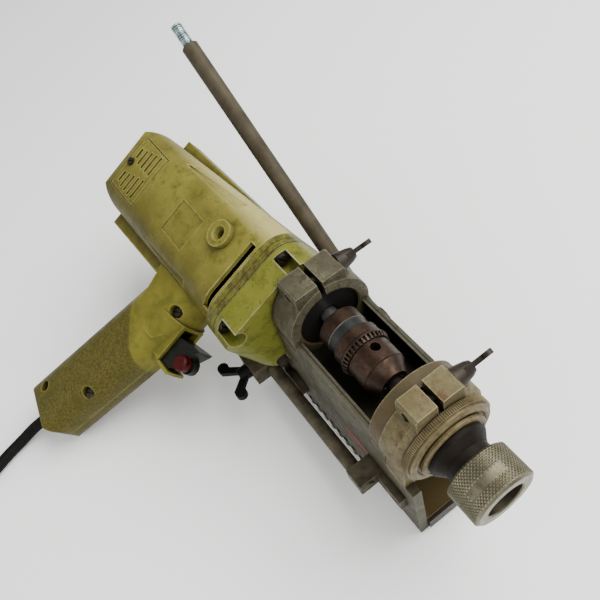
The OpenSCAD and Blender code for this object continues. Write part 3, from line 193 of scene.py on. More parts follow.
def set_camera():
    """A wide lens on a square frame, close above the nose of the spindle and tipped along the drill."""
    camera = bpy.data.objects.new("camera", bpy.data.cameras.new("camera"))
    camera.data.lens = LENS
    camera.data.sensor_width = SENSOR
    camera.data.clip_start = NEAREST / 1000
    ahead = Vector(AHEAD).normalized()
    right = Vector(RIGHT)
    right = (right - ahead * right.dot(ahead)).normalized()
    up = right.cross(ahead)
    camera.matrix_world = Matrix((right, up, -ahead)).transposed().to_4x4()
    camera.matrix_world.translation = metres(EYE)
    bpy.context.scene.collection.objects.link(camera)
    bpy.context.scene.camera = camera


# Cord


def cord_route():
    """Out of the grommet, down to the floor, over to the coil, and two layers of turns, in millimetres."""
    start = handle_place(-GROMMET_BACK, -HANDLE_LENGTH - GROMMET_LENGTH - CORD_GAP)
    end_y = COIL_Y + 2 * CORD_RADIUS + CORD_GAP
    route = []
    for share, beside, height in LEAD_STEPS:
        z = COIL_LOW + height * (start.z - COIL_LOW)
        route.append(Vector((start.x + beside, start.y + share * (end_y - start.y), z)))
    centre_x = route[-1].x - COIL_RADIUS
    back = LAYER_TURNS + CLIMB_TURN / 2
    for step in range(int((2 * LAYER_TURNS + CLIMB_TURN) * COIL_STEPS) + 1):
        turn = step / COIL_STEPS
        radius = COIL_RADIUS - COIL_PITCH * (turn if turn < back else 2 * back - turn)
        climb = min(1, max(0, (turn - LAYER_TURNS) / CLIMB_TURN))
        z = COIL_LOW + (COIL_HIGH - COIL_LOW) * (1 - math.cos(math.pi * climb)) / 2
        angle = -2 * math.pi * turn
        route.append(Vector((centre_x + radius * math.cos(angle), COIL_Y + radius * math.sin(angle), z)))
    end = route[-1]
    return route + [end + Vector((0, step, 0)) for step in TAIL_STEPS]


def lay_cord():
    """The rubber lead as one smooth round curve."""
    route = cord_route()
    line = bpy.data.curves.new("cord", "CURVE")
    line.dimensions = "3D"
    line.bevel_depth = 1
    line.bevel_resolution = 3
    line.resolution_u = 3
    line.use_fill_caps = True
    spline = line.splines.new("BEZIER")
    spline.bezier_points.add(len(route) - 1)
    for knot, point in zip(spline.bezier_points, route):
        knot.co = metres(point)
        knot.radius = CORD_RADIUS / 1000
        knot.handle_left_type = "AUTO"
        knot.handle_right_type = "AUTO"
    cord = bpy.data.objects.new("cord", line)
    bpy.context.scene.collection.objects.link(cord)
    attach(cord, "carrier")
    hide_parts("cord_lead", "cord_coil")
    return cord


# Nodes and patterns


def add(tree, kind, inputs=None, stops=None, **settings):
    """Adds a node with its settings, its links and the two stops of its ramp."""
    made = tree.nodes.new(kind)
    for name, value in settings.items():
        setattr(made, name, value)
    if stops:
        for stop, (place, shade) in zip(made.color_ramp.elements, stops):
            stop.position = place
            stop.color = shade
    for name, value in (inputs or {}).items():
        if isinstance(value, bpy.types.NodeSocket):
            tree.links.new(value, made.inputs[name])
        else:
            made.inputs[name].default_value = value
    return made


def colour(code):
    """An sRGB hex colour as linear values."""
    parts = [int(code[i : i + 2], 16) / 255 for i in (1, 3, 5)]
    return [p / 12.92 if p <= 0.04045 else ((p + 0.055) / 1.055) ** 2.4 for p in parts] + [1]


def per_metre(size):
    """The pattern scale whose features are about this many millimetres apart."""
    return 1000 / size


def new_material(name, metallic, roughness):
    """A material with its tree, its shader and Object coordinates, duller where it is no metal."""
    made = bpy.data.materials.new(name)
    made.use_nodes = True
    shader = made.node_tree.nodes["Principled BSDF"]
    shader.inputs["Metallic"].default_value = metallic
    shader.inputs["Roughness"].default_value = roughness
    shader.inputs["Specular IOR Level"].default_value = METAL_SHINE if metallic > 0.4 else DIRTY_SHINE
    place = add(made.node_tree, "ShaderNodeTexCoord").outputs["Object"]
    return made, made.node_tree, shader, place


def clouds(tree, place, size, low, high, stretch=(1, 1, 1)):
    """A cloudy change between two shades, with features of a size in millimetres."""
    place = add(tree, "ShaderNodeMapping", {"Vector": place, "Scale": stretch}).outputs["Vector"]
    pattern = {"Vector": place, "Scale": per_metre(size), "Detail": 6.0, "Roughness": 0.62}
    cloud = add(tree, "ShaderNodeTexNoise", pattern).outputs["Fac"]
    stops = [(0.36, colour(low)), (0.64, colour(high))]
    return add(tree, "ShaderNodeValToRGB", {"Fac": cloud}, stops).outputs["Color"]


def spots(tree, place, size, least, most):
    """1 where a cloud with features of a size in millimetres is over most, and 0 where it is under least."""
    pattern = {"Vector": place, "Scale": per_metre(size), "Detail": 5.0, "Roughness": 0.7}
    cloud = add(tree, "ShaderNodeTexNoise", pattern).outputs["Fac"]
    limits = {"Value": cloud, "From Min": least, "From Max": most}
    return add(tree, "ShaderNodeMapRange", limits).outputs["Result"]


def within(tree, value, span, soft):
    """1 where a coordinate lies in a span, with soft ends, all in millimetres."""
    low, high = span
    rise = {"Value": value, "From Min": (low - soft) / 1000, "From Max": (low + soft) / 1000}
    fall = {"Value": value, "From Min": (high + soft) / 1000, "From Max": (high - soft) / 1000}
    first = add(tree, "ShaderNodeMapRange", rise).outputs["Result"]
    last = add(tree, "ShaderNodeMapRange", fall).outputs["Result"]
    return add(tree, "ShaderNodeMath", {0: first, 1: last}, operation="MINIMUM").outputs[0]


def waves(tree, value, spacing):
    """A wave along a coordinate, with its crests a spacing in millimetres apart."""
    turns = {0: value, 1: 2 * math.pi / (spacing / 1000)}
    turns = add(tree, "ShaderNodeMath", turns, operation="MULTIPLY").outputs[0]
    return add(tree, "ShaderNodeMath", {0: turns}, operation="SINE").outputs[0]


def from_axis(tree, axes):
    """The distance from the axis that spindle, chuck and drill share."""
    above = {0: axes["Z"], 1: AXIS_HEIGHT / 1000}
    above = add(tree, "ShaderNodeMath", above, operation="SUBTRACT").outputs[0]
    flat = add(tree, "ShaderNodeCombineXYZ", {"Y": axes["Y"], "Z": above}).outputs["Vector"]
    return add(tree, "ShaderNodeVectorMath", {0: flat}, operation="LENGTH").outputs["Value"]


def edge_wear_and_sheen(tree, width, strength):
    """1 along the edges, from how far a normal rounded over a width in millimetres leaves the flat one; the
    finishes lay wear there, and on some a painted sheen.
    """
    rounded = add(tree, "ShaderNodeBevel", {"Radius": width / 1000}, samples=4).outputs["Normal"]
    flat = add(tree, "ShaderNodeNewGeometry").outputs["Normal"]
    both = {0: rounded, 1: flat}
    same = add(tree, "ShaderNodeVectorMath", both, operation="DOT_PRODUCT").outputs["Value"]
    limits = {"Value": same, "From Min": 0.98, "From Max": 0.8, "To Max": strength}
    return add(tree, "ShaderNodeMapRange", limits).outputs["Result"]


def occlusion_shade(tree, reach, strength):
    """1 in the corners and recesses that lie within a reach in millimetres of another face, where the
    finishes lay painted shade.
    """
    reach = {"Distance": reach / 1000}
    open_share = add(tree, "ShaderNodeAmbientOcclusion", reach, samples=6).outputs["AO"]
    limits = {"Value": open_share, "From Min": 0.85, "From Max": 0.35, "To Max": strength}
    return add(tree, "ShaderNodeMapRange", limits).outputs["Result"]


def coats(tree, shader, ground, layers):
    """Lays shades over a ground in turn, each where all of its masks are 1, and colours the shader."""
    for masks, top in layers:
        share = masks[0]
        for mask in masks[1:]:
            share = add(tree, "ShaderNodeMath", {0: share, 1: mask}, operation="MULTIPLY").outputs[0]
        mix = {0: share, 6: ground, 7: colour(top)}
        ground = add(tree, "ShaderNodeMix", mix, data_type="RGBA").outputs[2]
    tree.links.new(ground, shader.inputs["Base Color"])


def uneven_gloss(tree, shader, place, size, low, high):
    """A roughness that changes over patches of a size in millimetres."""
    spread = {"Value": spots(tree, place, size, 0.3, 0.7), "To Min": low, "To Max": high}
    spread = add(tree, "ShaderNodeMapRange", spread).outputs["Result"]
    tree.links.new(spread, shader.inputs["Roughness"])


def grit(tree, shader, place, size, height, where=1.0):
    """A fine relief with a grain size and a height in millimetres."""
    pattern = {"Vector": place, "Scale": per_metre(size), "Detail": 3.0, "Roughness": 0.6}
    cloud = add(tree, "ShaderNodeTexNoise", pattern).outputs["Fac"]
    relief = {"Height": cloud, "Strength": where, "Distance": height / 1000}
    bump = add(tree, "ShaderNodeBump", relief).outputs["Normal"]
    tree.links.new(bump, shader.inputs["Normal"])


def in_drill(tree, place):
    """Object coordinates turned into the rolled drill's own frame."""
    turn = {
        "Vector": place,
        "Location": metres((0, 0, AXIS_HEIGHT)),
        "Rotation": (math.radians(DRILL_ROLL), 0, 0),
    }
    return add(tree, "ShaderNodeMapping", turn, vector_type="TEXTURE").outputs["Vector"]


# Finishes


def plain_metal(name, metallic, roughness, low, high, size, edge, corner_shade, grain):
    """Worn bare metal: patchy tone, lighter edges as wear and on some finishes as a painted shine, painted
    shade in the corners, uneven gloss and a fine tool grain.
    """
    made, tree, shader, place = new_material(name, metallic, roughness)
    edge_patches = spots(tree, place, 3, 0.35, 0.6)
    layers = [([edge_wear_and_sheen(tree, 0.7, 0.75), edge_patches], edge), ([occlusion_shade(tree, 5, 0.8)], corner_shade)]
    coats(tree, shader, clouds(tree, place, size, low, high), layers)
    uneven_gloss(tree, shader, place, size * 0.5, roughness - 0.1, roughness + 0.14)
    grit(tree, shader, place, 0.5, grain)
    return made


def painted_casting():
    """Old warm grey paint on a sand casting: rough skin, chipped edges, a worn red stripe, painted shade in
    the corners and over the inside, and a lighter inside near the tunnel mouth as painted light.
    """
    made, tree, shader, place = new_material("grey_paint_on_sand_casting", 0.1, 0.55)
    axes = add(tree, "ShaderNodeSeparateXYZ", {"Vector": place}).outputs
    across = add(tree, "ShaderNodeMath", {0: axes["Y"]}, operation="ABSOLUTE").outputs[0]
    inside = within(tree, across, (-1, WALL_INSIDE + 0.2), 0.1)
    low = within(tree, axes["Z"], (-5, WALL_TOP - 0.6), 0.3)
    outer_face = within(tree, axes["Y"], (-40, -WALL_FACE + 0.1), 0.05)
    stripe = within(tree, axes["Z"], STRIPE_HEIGHT, 0.3)
    stripe_run = within(tree, axes["X"], STRIPE_RUN, 0.8)
    top_face = within(tree, axes["Z"], (WALL_TOP - 0.4, 200), 0.1)
    split_line = within(tree, across, SPLIT_LINE, 0.15)
    split_run = within(tree, axes["X"], SPLIT_LINE_RUN, 0.5)
    fore = within(tree, axes["X"], FORE_FACE_RUN, 0.6)
    fore_height = within(tree, axes["Z"], FORE_FACE_HEIGHT, 4)
    mouth = within(tree, axes["X"], TUNNEL_MOUTH_RUN, 14)
    layers = [
        ([spots(tree, place, 6, 0.5, 0.68)], "#343021"),
        ([spots(tree, place, 1.6, 0.6, 0.7)], "#211d13"),
        ([fore, fore_height, spots(tree, place, 5, 0.3, 0.6)], "#454130"),
        ([edge_wear_and_sheen(tree, 1.2, 0.85), spots(tree, place, 4, 0.36, 0.56)], "#64614d"),
        ([outer_face, stripe, stripe_run, spots(tree, place, 2.2, 0.36, 0.5)], "#b01b10"),
        ([top_face, split_line, split_run], "#1c1810"),
        # Painted shade in the corners, near-black painted shade over the inside below the wall tops, and
        # painted light inside near the tunnel mouth
        ([occlusion_shade(tree, 8, 0.75)], "#16130a"),
        ([inside, low], "#16130a"),
        ([inside, low, mouth], "#45391f"),
    ]
    coats(tree, shader, clouds(tree, place, 22, "#403c30", "#4c4b3b"), layers)
    uneven_gloss(tree, shader, place, 8, 0.42, 0.7)
    grit(tree, shader, place, 1.1, 0.12)
    return made


def clamp_casting(name, low, high, edge, stain, rim, dark_to, dark):
    """A bare sand casting darkened by handling: pitted and stained skin, bright edges, a brassy bore rim,
    painted shade in the corners and a bore painted near black as shade.
    """
    made, tree, shader, place = new_material(name, 0.25, 0.55)
    axes = add(tree, "ShaderNodeSeparateXYZ", {"Vector": place}).outputs
    radius = from_axis(tree, axes)
    bore = within(tree, radius, (10, COLLAR_RADIUS + 0.25), 0.1)
    bore_rim = within(tree, radius, (COLLAR_RADIUS + 0.2, COLLAR_RADIUS + 1.4), 0.15)
    rim_run = within(tree, axes["X"], BORE_RIM_RUN, 0.2)
    rear_part = within(tree, axes["X"], (-90, dark_to), 0.2)
    layers = [
        ([spots(tree, place, 5, 0.46, 0.66)], low),
        ([rear_part], dark),
        ([spots(tree, place, 7, 0.5, 0.64)], stain),
        ([spots(tree, place, 1.3, 0.6, 0.7)], "#1d1912"),
        ([edge_wear_and_sheen(tree, 1.1, 0.9), spots(tree, place, 3, 0.34, 0.52)], edge),
        ([bore_rim, rim_run], rim),
        # Painted shade in the corners, and the bore painted near black as shade
        ([occlusion_shade(tree, 7, 0.8)], "#17150c"),
        ([bore], "#16130c"),
    ]
    coats(tree, shader, clouds(tree, place, 14, low, high), layers)
    uneven_gloss(tree, shader, place, 5, 0.4, 0.68)
    grit(tree, shader, place, 0.9, 0.12)
    return made


def chuck_steel():
    """Case-hardened chuck steel: brown rust bloom, a slate band with a painted highlight line at its edge,
    rubbed teeth and edges, painted shade in the corners.
    """
    made, tree, shader, place = new_material("rust_bloomed_chuck_steel", 0.75, 0.42)
    along = add(tree, "ShaderNodeSeparateXYZ", {"Vector": place}).outputs["X"]
    band = within(tree, along, CHUCK_BAND, 0.4)
    band_highlight = within(tree, along, CHUCK_BAND_HIGHLIGHT, 0.1)
    layers = [
        ([spots(tree, place, 3, 0.5, 0.66)], "#432b1b"),
        ([spots(tree, place, 4, 0.46, 0.62)], "#2c2013"),
        ([band], "#2c2e2b"),
        # A light line at the band's edge, painted as a highlight
        ([band_highlight], "#5b574d"),
        ([spots(tree, place, 1.2, 0.6, 0.68)], "#120c07"),
        ([edge_wear_and_sheen(tree, 0.6, 0.7)], "#4e453b"),
        ([occlusion_shade(tree, 4, 0.75)], "#0b0907"),
    ]
    coats(tree, shader, clouds(tree, place, 9, "#261811", "#38291f", (0.4, 1, 1)), layers)
    uneven_gloss(tree, shader, place, 4, 0.3, 0.6)
    grit(tree, shader, place, 0.4, 0.03)
    return made


def nut_steel():
    """Worn plated steel: warm grey gone dull, lathe rings 1.1 mm apart on the end face, a brown mouth,
    painted shade in the corners.
    """
    made, tree, shader, place = new_material("worn_plated_steel", 0.75, 0.4)
    axes = add(tree, "ShaderNodeSeparateXYZ", {"Vector": place}).outputs
    radius = from_axis(tree, axes)
    end_face = within(tree, axes["X"], (NUT_FRONT - 0.1, NUT_FRONT + 1), 0.05)
    mouth = within(tree, radius, (-1, NUT_MOUTH_RADIUS), 0.1)
    mouth_run = within(tree, axes["X"], (NUT_BACK + 0.5, NUT_FRONT - 0.5), 0.2)
    rings = {"Value": waves(tree, radius, 1.1), "From Min": 0.2, "From Max": 1.0}
    rings = add(tree, "ShaderNodeMapRange", rings).outputs["Result"]
    layers = [
        ([spots(tree, place, 6, 0.48, 0.64)], "#514b39"),
        ([spots(tree, place, 1.2, 0.6, 0.7)], "#2a2719"),
        ([edge_wear_and_sheen(tree, 0.7, 0.8)], "#75715c"),
        ([end_face], "#6b6854"),
        ([end_face, rings, spots(tree, place, 5, 0.4, 0.6)], "#5d5a46"),
        ([occlusion_shade(tree, 4, 0.6)], "#272619"),
        ([mouth, mouth_run], "#4a4535"),
    ]
    coats(tree, shader, clouds(tree, place, 10, "#5b5643", "#6b6652"), layers)
    uneven_gloss(tree, shader, place, 4, 0.28, 0.55)
    grit(tree, shader, place, 0.5, 0.03)
    return made


def ring_steel():
    """Turned steel rings under old oil: yellowish grey, with fine lathe lines and dark brown painted shade in
    the steps.
    """
    made, tree, shader, place = new_material("oiled_turned_steel", 0.35, 0.5)
    layers = [
        ([spots(tree, place, 5, 0.48, 0.66)], "#4c4229"),
        ([edge_wear_and_sheen(tree, 0.5, 0.8)], "#8d8263"),
        ([occlusion_shade(tree, 0.9, 0.7)], "#1c160d"),
    ]
    coats(tree, shader, clouds(tree, place, 8, "#5b5036", "#6c6145", (6, 1, 1)), layers)
    uneven_gloss(tree, shader, place, 4, 0.4, 0.6)
    grit(tree, shader, place, 0.5, 0.02)
    return made


def olive_shell():
    """Old moulded plastic, olive under shop dirt and darker towards the bottom: a painted highlight on the
    upper corners, painted shade in the corners, dark seams and a fine grain.
    """
    made, tree, shader, place = new_material("dirty_olive_moulded_plastic", 0, 0.5)
    own = in_drill(tree, place)
    axes = add(tree, "ShaderNodeSeparateXYZ", {"Vector": own}).outputs
    lower_half = within(tree, axes["Y"], LOWER_DARK_HEIGHT, 14)
    upper = within(tree, axes["Y"], HIGHLIGHT_HEIGHT, 5)
    from_middle = add(tree, "ShaderNodeMath", {0: axes["Z"]}, operation="ABSOLUTE").outputs[0]
    beside = within(tree, from_middle, HIGHLIGHT_SIDE, 5)
    outside = []
    for axis, middle, half in zip("XY", COVER_MIDDLE, COVER_HALF):
        away = {0: axes[axis], 1: middle / 1000}
        away = add(tree, "ShaderNodeMath", away, operation="SUBTRACT").outputs[0]
        away = add(tree, "ShaderNodeMath", {0: away}, operation="ABSOLUTE").outputs[0]
        past = {0: away, 1: half / 1000}
        outside.append(add(tree, "ShaderNodeMath", past, operation="SUBTRACT").outputs[0])
    from_edge = {0: outside[0], 1: outside[1]}
    from_edge = add(tree, "ShaderNodeMath", from_edge, operation="MAXIMUM").outputs[0]
    seam = within(tree, from_edge, COVER_SEAM, 0.08)
    layers = [
        # Darker towards the bottom, in patches
        ([lower_half, spots(tree, own, 30, 0.25, 0.55)], "#4b4517"),
        ([spots(tree, own, 9, 0.5, 0.68)], "#57511d"),
        # Painted highlight on the upper corners
        ([upper, beside, spots(tree, own, 16, 0.1, 0.45)], "#a1985f"),
        ([spots(tree, own, 1.8, 0.6, 0.68)], "#38340d"),
        ([edge_wear_and_sheen(tree, 2.4, 0.85), spots(tree, own, 8, 0.3, 0.55)], "#a19957"),
        ([occlusion_shade(tree, 5, 0.85)], "#221e07"),
        ([seam], "#1c1809"),
        ([occlusion_shade(tree, 1.3, 1.0)], "#1c180a"),
    ]
    coats(tree, shader, clouds(tree, own, 34, "#645d26", "#746e2e"), layers)
    uneven_gloss(tree, shader, own, 12, 0.4, 0.62)
    grit(tree, shader, own, 0.9, 0.05)
    return made


def olive_grip():
    """The same plastic on the grip: stippled below a slanting line and smooth and brighter above it, with
    painted shade in the corners.
    """
    made, tree, shader, place = new_material("stippled_olive_grip_plastic", 0, 0.55)
    own = in_drill(tree, place)
    lean = math.radians(-HANDLE_LEAN)
    turn = {"Vector": own, "Location": metres(HANDLE_PLACE), "Rotation": (0, 0, lean)}
    along = add(tree, "ShaderNodeMapping", turn, vector_type="TEXTURE").outputs["Vector"]
    axes = add(tree, "ShaderNodeSeparateXYZ", {"Vector": along}).outputs
    slant = {0: axes["X"], 1: 0.5, 2: axes["Y"]}
    slant = add(tree, "ShaderNodeMath", slant, operation="MULTIPLY_ADD").outputs[0]
    rough = within(tree, slant, STIPPLED_SPAN, 1.2)
    stipple = spots(tree, along, 1.4, 0.44, 0.58)
    layers = [
        ([spots(tree, own, 12, 0.48, 0.66)], "#535018"),
        ([rough], "#524b1c"),
        ([rough, stipple], "#39340c"),
        ([rough, spots(tree, own, 14, 0.5, 0.7)], "#3f3c10"),
        ([edge_wear_and_sheen(tree, 2.4, 0.75), spots(tree, own, 8, 0.3, 0.55)], "#807d3c"),
        ([occlusion_shade(tree, 6, 0.85)], "#1f1906"),
        ([occlusion_shade(tree, 1.3, 1.0)], "#151308"),
    ]
    coats(tree, shader, clouds(tree, own, 26, "#5e581b", "#706a23"), layers)
    uneven_gloss(tree, shader, own, 10, 0.42, 0.66)
    grit(tree, shader, along, 1.4, 0.16, rough)
    return made


def gear_enamel():
    """Yellow-green enamel on an alloy gear case: glossier than the plastic, oily streaks, chipped corners,
    painted shade in the corners and a collar painted near black as shade.
    """
    made, tree, shader, place = new_material("yellow_green_enamel_on_alloy", 0.05, 0.4)
    own = in_drill(tree, place)
    axes = add(tree, "ShaderNodeSeparateXYZ", {"Vector": own}).outputs
    collar = within(tree, axes["X"], GEAR_COLLAR_RUN, 0.3)
    flange = within(tree, axes["X"], GEAR_FLANGE_RUN, 0.6)
    gear_seam = within(tree, axes["X"], GEAR_SEAM, 0.12)
    plate_seam = within(tree, axes["X"], PLATE_SEAM, 0.12)
    layers = [
        ([spots(tree, own, 10, 0.5, 0.68)], "#4a4b1a"),
        ([spots(tree, own, 2, 0.6, 0.68)], "#2e2f10"),
        ([edge_wear_and_sheen(tree, 1.4, 0.85), spots(tree, own, 6, 0.34, 0.55)], "#9d9887"),
        ([flange, spots(tree, own, 6, 0.4, 0.6)], "#443b1f"),
        ([gear_seam], "#23220c"),
        ([plate_seam], "#303110"),
        ([occlusion_shade(tree, 5, 0.85)], "#1a1909"),
        # The collar painted near black as shade
        ([collar], "#1a1816"),
        ([occlusion_shade(tree, 1.3, 1.0)], "#1a160a"),
    ]
    coats(tree, shader, clouds(tree, own, 24, "#5f611f", "#6e6e29"), layers)
    uneven_gloss(tree, shader, own, 9, 0.3, 0.55)
    grit(tree, shader, own, 1.2, 0.04)
    return made


def moulded(name, low, high, spot, edge, roughness):
    """A small plain moulding: fine grain, greasy patches, a dull sheen painted lighter on the rubbed edges,
    and painted shade in the corners.
    """
    made, tree, shader, place = new_material(name, 0, roughness)
    layers = [
        ([spots(tree, place, 3, 0.55, 0.7)], spot),
        ([edge_wear_and_sheen(tree, 0.9, 0.7), spots(tree, place, 3, 0.3, 0.55)], edge),
        ([occlusion_shade(tree, 3, 0.6)], low),
    ]
    coats(tree, shader, clouds(tree, place, 8, low, high), layers)
    uneven_gloss(tree, shader, place, 4, roughness - 0.12, roughness + 0.12)
    grit(tree, shader, place, 0.6, 0.04)
    return made


def stacked_sheet():
    """Stacked electrical steel: thin varnished sheets edge on, drawn 1.2 mm thick so that they show."""
    made, tree, shader, place = new_material("varnished_sheet_steel_stack", 0.7, 0.45)
    along = add(tree, "ShaderNodeSeparateXYZ", {"Vector": place}).outputs["X"]
    wave = waves(tree, along, 1.2)
    sheet = {"Value": wave, "From Min": 0.2, "From Max": 0.9}
    sheet = add(tree, "ShaderNodeMapRange", sheet).outputs["Result"]
    coats(tree, shader, clouds(tree, place, 12, "#403930", "#524c45"), [([sheet], "#28241e")])
    relief = {"Height": wave, "Strength": 1.0, "Distance": 0.1 / 1000}
    tree.links.new(add(tree, "ShaderNodeBump", relief).outputs["Normal"], shader.inputs["Normal"])
    return made


set_camera()
cord = lay_cord()

FRAME_PAINT = painted_casting()
# The rear clamp is greyer and duller, and the front one warmer and rubbed brighter
REAR_CLAMP = clamp_casting(
    "dark_handled_casting", "#443f31", "#5f5d48", "#85826b", "#3e382b", "#4f462c", -49, "#494336"
)
FRONT_CLAMP = clamp_casting(
    "bright_handled_casting", "#584f34", "#6f664b", "#9e9471", "#503f28", "#675f3e", 57.3, "#49412d"
)
# Screws, hub and rack: brown-black with oil, a faint shine painted lighter on the rubbed edges
DARK_STEEL = plain_metal(
    "dull_dark_steel", 0.6, 0.5, "#221c15", "#31291e", 6, "#4d4335", "#0a0706", 0.04
)
# The stop's wing bolt: nearly black and matte, with grey corners
BLACK_STEEL = plain_metal(
    "black_oxide_steel", 0.1, 0.6, "#060503", "#0a0906", 7, "#201d15", "#030202", 0.03
)
# The conical hub: a warm black film of oil over dull steel
BROWNED_STEEL = plain_metal(
    "oil_browned_steel", 0.25, 0.58, "#100c07", "#1a140d", 6, "#2f271d", "#050303", 0.03
)
# The lever and its shaft, the collet and the jaws: an even, dull mid grey
GREY_STEEL = plain_metal(
    "drawn_grey_steel", 0.3, 0.6, "#383226", "#4d4637", 12, "#665f4a", "#16140b", 0.04
)
# The depth stop: patchy grey-brown tarnish with light edges
BROWN_STEEL = plain_metal(
    "tarnished_brown_steel", 0.4, 0.55, "#38342a", "#58523f", 9, "#7d745c", "#100f07", 0.05
)
# The lever's threaded end: cool and bright, with a sparkle painted lighter on the crests
ZINC = plain_metal(
    "bright_zinc_plate", 0.9, 0.3, "#8ca1a2", "#a7bbbb", 5, "#c0d3d3", "#3e4b4b", 0.02
)
# Shafts, gears and bearings inside: light, smooth and clean
BRIGHT_STEEL = plain_metal(
    "ground_bearing_steel", 0.9, 0.28, "#827f7a", "#9a9793", 9, "#bcb8b2", "#34312e", 0.02
)
# Bushes: dull gold with fine pores
BRONZE = plain_metal(
    "sintered_bronze", 0.8, 0.45, "#7d5f2f", "#957542", 4, "#b3955e", "#352610", 0.04
)
# The commutator: warm red metal, brushed smooth
COPPER = plain_metal(
    "commutator_copper", 0.9, 0.35, "#8b5131", "#a56a46", 4, "#c28b64", "#361e10", 0.02
)
CHUCK = chuck_steel()
NUT_STEEL = nut_steel()
RING_STEEL = ring_steel()
OLIVE_SHELL = olive_shell()
OLIVE_GRIP = olive_grip()
GEAR_ENAMEL = gear_enamel()
SHEET_STACK = stacked_sheet()
# The trigger and the inner mouldings: black, with a satin sheen painted lighter on the edges
BLACK_PLASTIC = moulded("black_phenolic", "#0e0e0a", "#16160f", "#1e1e16", "#36352b", 0.42)
# The lock button: a deep red, with painted shade in its corners
RED_PLASTIC = moulded("dark_red_button_plastic", "#2e0100", "#440200", "#190200", "#560903", 0.5)
# Cord, grommet and plug: matte black that hardly shines
RUBBER = moulded("dull_black_rubber", "#060603", "#090907", "#0f0e09", "#15150f", 0.7)

FINISHES = [
    (FRAME_PAINT, ["carrier_frame"]),
    (REAR_CLAMP, ["rear_clamp"]),
    (FRONT_CLAMP, ["front_clamp"]),
    (DARK_STEEL, ["rear_wing_screw", "front_wing_screw", "block_screws", "lever_hub", "rack_bar"]),
    (DARK_STEEL, ["vent_screws", "gear_screws", "handle_screws"]),
    (BLACK_STEEL, ["stop_wing_bolt"]),
    (BROWNED_STEEL, ["drive_spindle"]),
    (GREY_STEEL, ["lever_rod", "pinion_shaft", "feed_pinion", "shaft_cap"]),
    (GREY_STEEL, ["collet", "jaw_one", "jaw_two", "jaw_three"]),
    (BROWN_STEEL, ["rear_stop_block", "front_stop_block", "stop_rod"]),
    (ZINC, ["lever_stud"]),
    (BRIGHT_STEEL, ["armature_shaft", "motor_bearings", "drill_spindle"]),
    (BRIGHT_STEEL, ["spindle_gear", "spindle_bearings"]),
    (BRONZE, ["front_bush", "rear_bush"]),
    (COPPER, ["commutator"]),
    (CHUCK, ["chuck_body", "chuck_sleeve"]),
    (NUT_STEEL, ["collet_nut"]),
    (RING_STEEL, ["bearing_sleeve", "knurled_ring", "retaining_ring"]),
    (OLIVE_SHELL, ["motor_housing", "vent_covers"]),
    (OLIVE_GRIP, ["handle_right", "handle_left"]),
    (GEAR_ENAMEL, ["bearing_plate", "gear_housing"]),
    (SHEET_STACK, ["stator", "armature_core"]),
    (BLACK_PLASTIC, ["brush_holders", "cooling_fan", "switch_body", "trigger", "cord_tie"]),
    (RED_PLASTIC, ["lock_button"]),
    (RUBBER, ["cord_grommet", "plug"]),
]
for finish, names in FINISHES:
    for name in names:
        nodes[name].data.materials.clear()
        nodes[name].data.materials.append(finish)
cord.data.materials.append(RUBBER)


# Fine detail


def new_tree(name, sizes):
    """A geometry tree with named sizes and a mesh that gives its places."""
    tree = bpy.data.node_groups.new(name, "GeometryNodeTree")
    tree.interface.new_socket("Places", in_out="INPUT", socket_type="NodeSocketGeometry")
    for size in sizes:
        tree.interface.new_socket(size, in_out="INPUT", socket_type="NodeSocketFloat")
    tree.interface.new_socket("Mesh", in_out="OUTPUT", socket_type="NodeSocketGeometry")
    return tree, tree.nodes.new("NodeGroupInput").outputs


def close_tree(tree, places, shape, material):
    """Ends a tree: a shape on each place, pointing the way stored there, as real faces in one finish."""
    facing = add(tree, "GeometryNodeInputNamedAttribute", {"Name": "facing"}, data_type="FLOAT_VECTOR")
    turn = {"Vector": facing.outputs["Attribute"]}
    turn = add(tree, "FunctionNodeAlignRotationToVector", turn, axis="Z").outputs["Rotation"]
    spread = {"Points": places, "Instance": shape, "Rotation": turn}
    placed = add(tree, "GeometryNodeInstanceOnPoints", spread).outputs["Instances"]
    solid = add(tree, "GeometryNodeRealizeInstances", {"Geometry": placed}).outputs["Geometry"]
    dressed = {"Geometry": solid, "Material": material}
    dressed = add(tree, "GeometryNodeSetMaterial", dressed).outputs["Geometry"]
    add(tree, "NodeGroupOutput", {"Mesh": dressed})


def grown(name, tree, sizes, spread, body, replaced=()):
    """Runs a tree on places, each with a way to face, and keeps the result as a piece on a body."""
    seed = bpy.data.meshes.new(name + "_places")
    seed.from_pydata([metres(place) for place, way in spread], [], [])
    facing = seed.attributes.new("facing", "FLOAT_VECTOR", "POINT")
    for stored, (place, way) in zip(facing.data, spread):
        stored.vector = way
    holder = bpy.data.objects.new(name + "_holder", seed)
    bpy.context.scene.collection.objects.link(holder)
    modifier = holder.modifiers.new("grow", "NODES")
    modifier.node_group = tree
    for item in tree.interface.items_tree:
        if item.in_out == "INPUT" and item.name in sizes:
            modifier[item.identifier] = sizes[item.name] / 1000
    bpy.context.view_layer.update()
    ready = holder.evaluated_get(bpy.context.evaluated_depsgraph_get())
    mesh = bpy.data.meshes.new_from_object(ready)
    bpy.data.objects.remove(holder)
    mesh.name = name
    piece = bpy.data.objects.new(name, mesh)
    bpy.context.scene.collection.objects.link(piece)
    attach(piece, body)
    if replaced:
        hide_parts(*replaced)


SCREW_SIZES = ["Head radius", "Head height", "Shank radius", "Shank length", "Slot width"]


